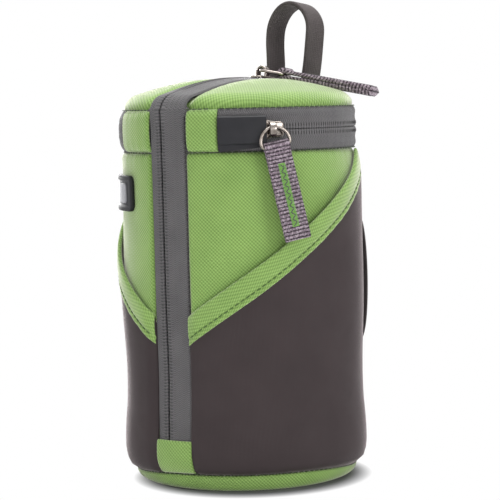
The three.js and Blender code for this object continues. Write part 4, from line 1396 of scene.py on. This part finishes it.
def loop_path():
    foot = float(on_dome(np.array(0.0), np.array(LOOP_Y), np.array(-1.0))[2])
    tall = (heights_of("grab_loop")[1] - 1 - foot) / math.cos(LOOP_LEAN) - 0.6
    turn = tall - LOOP_HALF * LOOP_ROUND
    up = np.linspace(0, turn, 20)
    arc = np.linspace(0, math.pi, 30)[1:-1]
    left = np.stack([-LOOP_HALF + LOOP_PINCH * (1 - smooth(up, 0, turn * 0.9)), up], axis=-1)
    over = np.stack([-LOOP_HALF * np.cos(arc), turn + LOOP_HALF * LOOP_ROUND * np.sin(arc)], axis=-1)
    x, z = np.concatenate([left, over, left[::-1] * [-1, 1]]).T
    return np.stack([LOOP_X + x, LOOP_Y + z * math.sin(LOOP_LEAN), foot + z * math.cos(LOOP_LEAN)], axis=-1)


def grab_loop():
    place, length = strap(loop_path(), [0, math.cos(LOOP_LEAN), -math.sin(LOOP_LEAN)])

    def fold(across, along):
        return hem(LOOP_WIDTH / 2 - np.abs(across), width=0.9, depth=0.9)

    def crown(across, along):
        return np.full_like(across, LOOP_THICKNESS / 2) + LOOP_WAVE * np.sin(along / LOOP_WAVE_RUN)

    us = spaced(-LOOP_WIDTH / 2, LOOP_WIDTH / 2, 1.1, 0.8)
    piece = cloth("grab_loop_strap", place, us, spaced(0, length, 1.4), LOOP_THICKNESS, crown, fold)
    dress(piece, dark_webbing, "lid", ["grab_loop"])
    declare(piece, LOOP_WIDTH, length)


grab_loop()

# %% Belt loop
BELT_LOW, BELT_HIGH = heights_of("belt_loop")
BELT_HALF = float(corners_of("belt_loop")[:, 0].max()) + 3.5
BELT_OUT = float(corners_of("belt_loop")[:, 1].max()) + 0.9
BELT_THICKNESS, BELT_GAP = 1.4, 0.5
BELT_SEWN, BELT_ARCH, BELT_SLACK = 4.0, 0.2, 5
BELT_STITCH, BELT_INSET = (2.4, 1.0, 0.5), 2.2
BELT_ROWS = (BELT_LOW + 1.6, BELT_LOW + 3.6, BELT_HIGH - 1.6, BELT_HIGH - 3.6)


def on_belt_loop(x, height, lift):
    share = (height - BELT_LOW - BELT_SEWN) / (BELT_HIGH - BELT_LOW - 2 * BELT_SEWN)
    free = np.sin(math.pi * np.clip(share, 0, 1)) ** BELT_ARCH
    angle = 180 - np.degrees(np.arcsin(x / WALL))
    r = POCKET_R + slack(angle, height) + BELT_GAP + BELT_THICKNESS
    sewn = np.sqrt(r**2 - x**2)
    return np.stack([x, sewn + (BELT_OUT - sewn) * free + lift, height + 0 * x], axis=-1)


def belt_fold(x, height):
    ends = from_ends(height, BELT_LOW, BELT_HIGH)
    return hem(BELT_HALF - np.abs(x), width=1.0, depth=0.9) + hem(ends, width=1.2, depth=1.0)


us, vs = spaced(-BELT_HALF, BELT_HALF, 1.6, 0.9), spaced(BELT_LOW, BELT_HIGH, 1.5, 1.0)
belt_loop = cloth("belt_loop_strap", on_belt_loop, us, vs, BELT_THICKNESS, None, belt_fold)
dress(belt_loop, dark_webbing, "case", ["belt_loop"])
length = BELT_HIGH - BELT_LOW + BELT_SLACK
declare(belt_loop, 2 * BELT_HALF, length)
for number, height in enumerate(BELT_ROWS):
    path = [(x, height) for x in np.linspace(-BELT_HALF + BELT_INSET, BELT_HALF - BELT_INSET, 60)]
    stitch_row(f"belt_loop_stitches_{number}", on_belt_loop, path, BELT_STITCH, 0.05, dark_thread, "case",
               "dark_webbing")

# %% [markdown]
# ## Garage and badge
# A moulded rubber hood keeps the closed slider: a flat roof that rises from its sewn end to an open mouth,
# with a narrow flange below. The badge is a rubber patch with a raised border and a bare metal plate in it.

# %% Zip garage
GARAGE_ROOF = 12.6
GARAGE_SKIN, GARAGE_GAP = 0.9, 0.3
GARAGE_RISE = radius_of("zip_garage") - WALL - GARAGE_SKIN - GARAGE_GAP
GARAGE_END_RISE = 0.9
FLANGE, FLANGE_AT_MOUTH = 3.2, 1.2
ROOF_LOW, ROOF_HIGH = ZIP_LINE - GARAGE_ROOF / 2, ZIP_LINE + GARAGE_ROOF / 2
GARAGE_ROWS = np.concatenate([
    [-1, -0.97, -0.9], np.linspace(-0.8, -0.04, 10),
    np.linspace(0, 0.08, 9), np.linspace(0.1, 0.9, 14), np.linspace(0.92, 1, 12),
])


def garage_share(angle):
    return (angle - GARAGE_START) / (GARAGE_END - GARAGE_START)


def garage_height(angle, row):
    """Rows under zero lie on the flange, and rows from 0 to 1 on the roof."""
    flange = FLANGE + (FLANGE_AT_MOUTH - FLANGE) * garage_share(angle)
    return np.where(row < 0, ROOF_LOW + row * flange, ROOF_LOW + row * GARAGE_ROOF)


def on_garage(angle, row, lift):
    return on_wall(WALL)(angle, garage_height(angle, row), lift)


def garage_crown(angle, row):
    bend = np.sin(np.clip(garage_share(angle), 0, 1) * math.pi / 2)
    height = garage_height(angle, row)
    above = smooth(height, ROOF_LOW - 0.3, ROOF_LOW + 0.7)
    below = 1 - smooth(height, ROOF_HIGH - 0.8, ROOF_HIGH + 0.1)
    rise = GARAGE_END_RISE + (GARAGE_RISE - GARAGE_END_RISE) * bend
    return GARAGE_SKIN + GARAGE_GAP + above * below * rise


def garage_fold(angle, row):
    ends = from_ends(angle, GARAGE_START, GARAGE_END) / DEGREES_PER_MM
    edges = from_ends(row, -1, 1) * FLANGE
    return hem(np.maximum(ends, 0), width=0.4, depth=0.3) + hem(edges, width=0.5, depth=0.4)


us = spaced(GARAGE_START, GARAGE_END, 0.7, 0.4 * DEGREES_PER_MM)
hood = cloth("zip_garage_hood", on_garage, us, GARAGE_ROWS, GARAGE_SKIN, garage_crown, garage_fold,
             wall_cloth_size)
dress(hood, black_rubber, "case", ["zip_garage"])
print(f"garage: {(GARAGE_END - GARAGE_START) / DEGREES_PER_MM:.1f} mm long")

# %% Badge
BADGE_RAISE = 1.6
BADGE_RECESS, BADGE_BORDER, BORDER_STEP = 1.0, 2.0, 0.6
BADGE_EDGES = [-1, -0.99, -0.97, 0.97, 0.99, 1]
BADGE_SHARES = np.unique(np.concatenate([np.linspace(-0.95, 0.95, 60), BADGE_EDGES]))


def rounded_patch(name, node, corner, thickness, base, border, finish):
    """A patch on the wall with round corners, and a raised border where that is asked for."""
    low, high = (height + BADGE_RAISE for height in heights_of(node))
    start, end = angles_of(node)
    middle = (start + end) / 2
    half = (end - start) / 2 / DEGREES_PER_MM

    def half_width(height):
        past = np.clip(corner - from_ends(height, low, high), 0, corner)
        return half - corner + np.sqrt(corner**2 - past**2)

    def place(share, height, lift):
        angle = middle + share * half_width(height) * DEGREES_PER_MM
        return on_wall(WALL)(angle, height, lift + base + thickness)

    def from_edge(share, height):
        return np.minimum((1 - np.abs(share)) * half_width(height), from_ends(height, low, high))

    def crown(share, height):
        return -BADGE_RECESS * smooth(from_edge(share, height), border, border + BORDER_STEP)

    def fold(share, height):
        return hem(from_edge(share, height), width=0.5, depth=min(0.45, thickness * 0.6))

    def flat(share, height):
        return share * half, height

    vs = spaced(low, high, 0.5, 0.5)
    piece = cloth(name, place, BADGE_SHARES, vs, thickness, crown if border else None, fold, flat)
    dress(piece, finish, "case", [node])
    print(f"{name}: {2 * half:.1f} x {high - low:.1f} mm")


rounded_patch("badge_patch_rubber", "badge_patch", corner=3.0, thickness=1.9, base=0.3, border=BADGE_BORDER,
              finish=black_rubber)
rounded_patch("badge_plate_bare", "badge_plate", corner=1.6, thickness=0.7, base=1.0, border=None,
              finish=bare_plate)

# %% [markdown]
# ## Sliders, rings and pulls
# A slider is two plates on a post, with a bridge that holds the pull's ring. The CAD joints say where it is:
# the travel joint's axis and the pull's pivot give the direction along the zip and out of it. The plates are
# made as thick cloth with round edges, which suits a casting, and the ring is a wire bent to a D.

# %% Frames for the hardware
PIVOT_HEIGHT = 4.6
RING_SEAT = 0.9


def joint_line(name):
    """A joint's place in millimetres and its axis."""
    return np.array(joint(name)["pos_m"], float) / MM, np.array(joint(name)["axis"], float)


def slider_frame(travel, swing):
    """Origin on the tape and axes along the zip, across it and out of it."""
    centre, axis = joint_line(travel)
    pivot = joint_line(swing)[0]
    arm = pivot - centre
    out = unit(arm - axis * (arm @ axis))
    along = np.cross(axis, out)
    return pivot - out * PIVOT_HEIGHT, np.stack([along, np.cross(out, along), out])


def pull_frame(swing, webbing):
    """Origin on the pivot and axes along the pivot, back along the pull and out of it."""
    pivot, axis = joint_line(swing)
    back = -unit(corners_of(webbing).mean(axis=0) - pivot)
    back = unit(back - axis * (back @ axis))
    return pivot + back * RING_SEAT, np.stack([-axis, back, np.cross(-axis, back)])


def into_frame(piece, place):
    """Moves a mesh made in its own axes to its place in the frame."""
    origin, axes = place
    points = np.array([v.co for v in piece.data.vertices]) / MM
    piece.data.vertices.foreach_set("co", ((points @ axes + origin) * MM).ravel())
    piece.data.update()
    return piece


PULLS = {
    "top_pull": (pull_frame("top_pull_swing", "top_pull_webbing"), "rim_pull"),
    "side_pull": (pull_frame("side_pull_swing", "side_pull_webbing"), "lid_pull"),
}
for name, (place, body) in PULLS.items():
    print(name, "turns at", place[0].round(1))

# %% Slider casting
FRONT_PLATE = {"length": 12.0, "nose": 9.4, "tail": 7.0, "thickness": 1.3, "top": 1.8, "crowned": 0.4}
REAR_PLATE = {"length": 10.0, "nose": 5.2, "tail": 5.2, "thickness": 1.2, "top": -3.3, "crowned": 0.1}
PLATE_EDGES = [-1, -0.98, -0.95, 0.95, 0.98, 1]
PLATE_SHARES = np.unique(np.concatenate([np.linspace(-0.9, 0.9, 15), PLATE_EDGES]))
NOSE_END, TAIL_START = 0.15, 0.65
END_ROUND, END_WIDTH = 2.2, 0.55
BRIDGE_R, BRIDGE_Z, BRIDGE_FOOT = 2.75, 3.75, 1.4
BRIDGE_HALF, BRIDGE_THICKNESS = 1.5, 1.1
POST_LENGTH, POST_TOP, POST_HEIGHT = 4, 0.8, 4.8
POST_SIDES = np.array([-0.3, 0, 0.3])


def slider_plate(name, length, nose, tail, thickness, top, crowned):
    def half_width(x):
        share = (x + length / 2) / length
        body = (nose + (tail - nose) * smooth(share, NOSE_END, TAIL_START)) / 2
        ends = np.clip(np.minimum(share, 1 - share) * length / END_ROUND, 0, 1)
        return body * (END_WIDTH + (1 - END_WIDTH) * np.sqrt(1 - (1 - ends) ** 2))

    def place(share, x, lift):
        return np.stack([x, share * half_width(x), top + lift], axis=-1)

    def crown(share, x):
        return crowned * (1 - share**2) * (1 - (2 * x / length) ** 2)

    def fold(share, x):
        sides = (1 - np.abs(share)) * half_width(x)
        return hem(np.minimum(sides, length / 2 - np.abs(x)), width=0.8, depth=0.7)

    return cloth(name, place, PLATE_SHARES, spaced(-length / 2, length / 2, 0.5, 0.5), thickness, crown, fold)


def slider_bridge(name):
    turn = np.linspace(math.pi, 0, 16)
    arch = [(0, BRIDGE_R * math.cos(t), BRIDGE_Z + BRIDGE_R * math.sin(t)) for t in turn]
    feet = [(0, -BRIDGE_R, BRIDGE_FOOT)], [(0, BRIDGE_R, BRIDGE_FOOT)]
    place, length = strap(feet[0] + arch + feet[1], [-1, 0, 0])

    def crown(across, along):
        return np.full_like(across, BRIDGE_THICKNESS / 2)

    def fold(across, along):
        return hem(BRIDGE_HALF - np.abs(across), width=0.6, depth=0.55)

    us = spaced(-BRIDGE_HALF, BRIDGE_HALF, 0.5, 0.5)
    return cloth(name, place, us, spaced(0, length, 0.4), BRIDGE_THICKNESS, crown, fold)


def slider_post(name):
    def place(along, across, lift):
        return np.stack([along, across, POST_TOP + lift], axis=-1)

    return cloth(name, place, spaced(-POST_LENGTH, 0, 1.0), POST_SIDES, POST_HEIGHT)


def slider(name, travel, swing, body):
    front = slider_plate(name + "_casting", **FRONT_PLATE)
    rear = slider_plate(name + "_rear", **REAR_PLATE)
    for piece in (front, rear, slider_bridge(name + "_bridge"), slider_post(name + "_post")):
        into_frame(piece, slider_frame(travel, swing))
        dress(piece, nickel, body)
    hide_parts(name)
    print(f"{name}: plates, post and bridge")


slider("top_slider", "top_zip_travel", "top_pull_swing", "rim_slider")
slider("side_slider", "side_zip_travel", "side_pull_swing", "lid_slider")

# %% Rings
RING_WIRE, RING_SIDES = 0.8, 12
RING_HALF, RING_CORNER = 6.5, 1.8
RING_LENGTHS = {"top_pull": 8.2, "side_pull": 12.6}


def ring_path(low):
    bow = [(RING_HALF * math.cos(t), low * (math.sin(t) - 1), 0) for t in np.linspace(0, math.pi, 40)[:-1]]
    turn = np.linspace(0, math.pi / 2, 8)
    corner = [(RING_CORNER * (1 - math.cos(t)), RING_CORNER * math.sin(t)) for t in turn]
    first = [(-RING_HALF + x, -low - y, 0) for x, y in corner]
    return bow + first + [(-x, y, 0) for x, y, _ in reversed(first)]


for name, (place, body) in PULLS.items():
    path = ring_path(RING_LENGTHS[name] - RING_CORNER)
    ring = tube(f"{name}_ring_wire", path, RING_WIRE, RING_SIDES, [0, 0, 1], closed=True)
    dress(into_frame(ring, place), nickel, body, [f"{name}_ring"])
    print(f"{name} ring: wire {2 * RING_WIRE:.1f} mm, {RING_LENGTHS[name]} mm long")

# %% [markdown]
# ## Webbing pulls
# Each pull is a short webbing, looped through its ring and folded back on itself. Its cross ribs are real
# geometry, because they show in its outline. A green strip of satin stitches runs along the middle, with a
# plain zigzag in grey: the lettering that such pulls carry is left off.

# %% Pulls
PULL_WIDTH = 11.2
PULL_LENGTHS = {"top_pull": 41.0, "side_pull": 42.5}
WEBBINGS = {"top_pull": 1.3, "side_pull": 2.3}
EYE_GAP = 0.15
JOIN, JOIN_GAP = 0.42, 0.3
RIB_HEIGHT, RIB_SINK, RIB_ROUND = 0.34, 0.1, 0.7
STRIP_SINK = {"top_pull": 0.05, "side_pull": 0.4}
STRIP_START, STRIP_LENGTH, STRIP_WIDTH = 8.0, 27.5, 3.4
STRIP_PITCH, STRIP_THREAD = 0.62, 0.6
ZIGZAG_PITCH, ZIGZAG_LEAN, ZIGZAG_LENGTH, ZIGZAG_THREAD = 1.5, 1.2, 2.2, 0.5


def pull_path(eye, length, webbing):
    """Round trip of the webbing seen from its edge: underside, end fold, face, eye and underside again."""
    layer = webbing / 2 + EYE_GAP
    round_ring = RING_WIRE + webbing / 2 + EYE_GAP
    end = eye - length + layer
    join = eye - JOIN * length
    leave = math.asin(layer / round_ring)
    half_turn = np.linspace(1.5 * math.pi, 0.5 * math.pi, 9)
    fold = [(0, end + layer * math.cos(t), layer * math.sin(t)) for t in half_turn]
    ring_turn = np.linspace(math.pi - leave, leave - math.pi, 19)
    bend = [(0, eye + round_ring * math.cos(t), round_ring * math.sin(t)) for t in ring_turn]
    return [(0, join + JOIN_GAP, -layer), *fold, *bend, (0, join - JOIN_GAP, -layer)]


def webbing_strap(name, eye, webbing):
    place, length = strap(pull_path(eye, PULL_LENGTHS[name], webbing), [1, 0, 0])

    def crown(across, along):
        ribs = np.abs(np.sin(math.pi * along / RIB_PITCH)) ** RIB_ROUND
        return webbing / 2 - RIB_SINK + RIB_HEIGHT * ribs

    def fold(across, along):
        return hem(PULL_WIDTH / 2 - np.abs(across), width=0.7, depth=0.6)

    us, vs = spaced(-PULL_WIDTH / 2, PULL_WIDTH / 2, 1.3, 0.6), spaced(0, length, RIB_PITCH / 6)
    return cloth(f"{name}_webbing_strap", place, us, vs, webbing, crown, fold), length


def on_face(ys, face):
    """Points along the middle of a pull."""
    return np.stack([0 * ys, ys, np.full_like(ys, face)], axis=-1)


def webbing_pull(name, place, body):
    eye = -RING_LENGTHS[name]
    webbing = WEBBINGS[name]
    piece, length = webbing_strap(name, eye, webbing)
    dress(into_frame(piece, place), pull_webbing, body, [f"{name}_webbing"])
    declare(piece, PULL_WIDTH, length)
    face = webbing + EYE_GAP - STRIP_SINK[name]
    start = eye - STRIP_START
    bars = on_face(np.arange(start, start - STRIP_LENGTH, -STRIP_PITCH), face)
    strip = sew(f"{name}_strip", bars, [1.0, 0, 0], [0, 0, 1.0], STRIP_WIDTH, STRIP_THREAD)
    dress(into_frame(strip, place), bright_thread, body, slot="pull_webbing")
    steps = np.arange(start - 1.0, start - STRIP_LENGTH + 0.5, -ZIGZAG_PITCH)
    lean = np.where(np.arange(len(steps)) % 2 == 0, ZIGZAG_LEAN, -ZIGZAG_LEAN)
    alongs = np.stack([lean, -np.ones_like(steps), 0 * steps], axis=-1)
    middles = on_face(steps, face + 0.25)
    zigzag = sew(f"{name}_zigzag", middles, alongs, [0, 0, 1.0], ZIGZAG_LENGTH, ZIGZAG_THREAD)
    dress(into_frame(zigzag, place), grey_thread, body, slot="pull_webbing")


for name, (place, body) in PULLS.items():
    webbing_pull(name, place, body)

# %% [markdown]
# ## Floor, light and camera
# A pouch in a catalogue stands on a white sweep under large soft lamps. Seen straight, the floor is a dark
# matt patch close to the pouch, which stands for its shadow and fades to the background's white. Light that
# bounces meets a plain white floor. The lamps are low enough that a colour renders about as it is written.

# %% Floor and background
FLOOR_HALF = 6000.0
FLOOR_WHITE, WHITE, SHADE = (0.93, 0.93, 0.94, 1), (1, 1, 1, 1), (0.18, 0.18, 0.19, 1)
SHADOW_MIDDLE = (7.6, -5.2, 0.0)
SHADOW_START, SHADOW_END = 43.0, 55.0
SKY_LOW, SKY_HIGH = 0.06, 0.9


def floor():
    square = [(x * FLOOR_HALF, y * FLOOR_HALF, 0) for x, y in ((-1, -1), (1, -1), (1, 1), (-1, 1))]
    piece = make_mesh("floor", square, [(0, 1, 2, 3)])
    finish = Finish("floor", Roughness=0.9, Base_Color=FLOOR_WHITE)
    place = finish.node("ShaderNodeTexCoord", out="Object")
    middle = tuple(value * MM for value in SHADOW_MIDDLE)
    away = finish.node("ShaderNodeVectorMath", {0: place, 1: middle}, out="Value", operation="DISTANCE")
    far = ((away - SHADOW_START * MM) / ((SHADOW_END - SHADOW_START) * MM)).clamped()
    shade = finish.node("ShaderNodeBsdfDiffuse", {"Color": SHADE})
    white = finish.node("ShaderNodeEmission", {"Color": WHITE, "Strength": 1.0})
    sweep = finish.node("ShaderNodeMixShader", {0: far * far, 1: shade, 2: white})
    lit = Value(finish, finish.shader.outputs[0])
    shown = finish.node("ShaderNodeMixShader", {0: finish.plain_rays(), 1: lit, 2: sweep})
    finish.feed(finish.tree.nodes["Material Output"].inputs[0], shown)
    piece.data.materials.append(finish.material)


def background():
    """White to look at, and a dim sky that is darker towards the horizon for everything else."""
    world = bpy.data.worlds.new("studio")
    bpy.context.scene.world = world
    world.use_nodes = True
    sky = Nodes(world.node_tree)
    low, high, plain = (
        sky.node("ShaderNodeBackground", {"Color": WHITE, "Strength": strength})
        for strength in (SKY_LOW, SKY_HIGH, 1.0)
    )
    direction = sky.node("ShaderNodeTexCoord", out="Generated")
    rise = sky.node("ShaderNodeSeparateXYZ", {0: direction}, out=2).clamped()
    dome = sky.node("ShaderNodeMixShader", {0: rise * rise, 1: low, 2: high})
    shown = sky.node("ShaderNodeMixShader", {0: sky.plain_rays(), 1: dome, 2: plain})
    sky.feed(sky.tree.nodes["World Output"].inputs[0], shown)


floor()
background()
print("floor, white background and a dim sky")

# %% Lamps
LAMPS = {  # azimuth and elevation in degrees, distance and size in metres, power in watts
    "overhead": (200, 80, 0.9, 0.8, 11.0),
    "left_rim": (-130, 6, 0.9, 0.5, 14.0),
    "left_fill": (-20, 8, 1.1, 0.7, 1.5),
    "right_key": (82, 16, 0.9, 0.3, 2.3),
    "front_fill": (40, 8, 1.1, 0.7, 1.7),
}
LAMP_AIM = Vector((0, 0, 0.1))


def softbox(name, azimuth, elevation, distance, size, power):
    """A square lamp that faces the middle of the pouch."""
    turn, rise = math.radians(azimuth), math.radians(elevation)
    back = Vector((math.sin(turn) * math.cos(rise), -math.cos(turn) * math.cos(rise), math.sin(rise)))
    light = bpy.data.lights.new(name, "AREA")
    light.size = size
    light.energy = power
    lamp = bpy.data.objects.new(name, light)
    lamp.location = LAMP_AIM + back * distance
    lamp.rotation_mode = "QUATERNION"
    lamp.rotation_quaternion = back.to_track_quat("Z", "Y")
    bpy.context.scene.collection.objects.link(lamp)


for name, settings in LAMPS.items():
    softbox(name, *settings)
print(len(LAMPS), "soft lamps")

# %% [markdown]
# ## Camera
# The photograph was taken with a long lens from about lid height, forty degrees round from the side zip. The
# camera stands there, tipped a little down and turned a little about its own axis, as the photograph is.

# %% Camera
CAMERA_AZIMUTH, CAMERA_DISTANCE, CAMERA_HEIGHT = 39.6, 863.0, 170.0
CAMERA_PITCH, CAMERA_YAW, CAMERA_ROLL = 4.45, -0.25, -1.4
FOCAL_PIXELS, PHOTO_PIXELS = 1872.0, 500.0
SENSOR_WIDTH = 36.0
CLIP_END = 50


def set_camera():
    turn = math.radians(CAMERA_AZIMUTH)
    look = math.radians(CAMERA_AZIMUTH + CAMERA_YAW)
    down, roll = math.radians(CAMERA_PITCH), math.radians(CAMERA_ROLL)
    forward = Vector((-math.sin(look) * math.cos(down), math.cos(look) * math.cos(down), -math.sin(down)))
    right = Vector((math.cos(look), math.sin(look), 0))
    up = right.cross(forward)
    level = right * math.cos(roll) + up * math.sin(roll)
    upright = -right * math.sin(roll) + up * math.cos(roll)
    data = bpy.data.cameras.new("camera")
    data.sensor_width = SENSOR_WIDTH
    data.lens = FOCAL_PIXELS / PHOTO_PIXELS * SENSOR_WIDTH
    data.clip_end = CLIP_END
    camera = bpy.data.objects.new("camera", data)
    camera.rotation_mode = "QUATERNION"
    camera.rotation_quaternion = Matrix((level, upright, -forward)).transposed().to_quaternion()
    x, y = math.sin(turn) * CAMERA_DISTANCE, -math.cos(turn) * CAMERA_DISTANCE
    camera.location = Vector((x, y, CAMERA_HEIGHT)) * MM
    bpy.context.scene.collection.objects.link(camera)
    bpy.context.scene.camera = camera
    bpy.context.scene.view_settings.view_transform = "Standard"


set_camera()
print(f"camera lens {bpy.context.scene.camera.data.lens:.0f} mm")

# %% [markdown]
# ## The packed model's box
# The dressed pouch has to stay in the box of the packed model, apart from what cloth may stand proud.
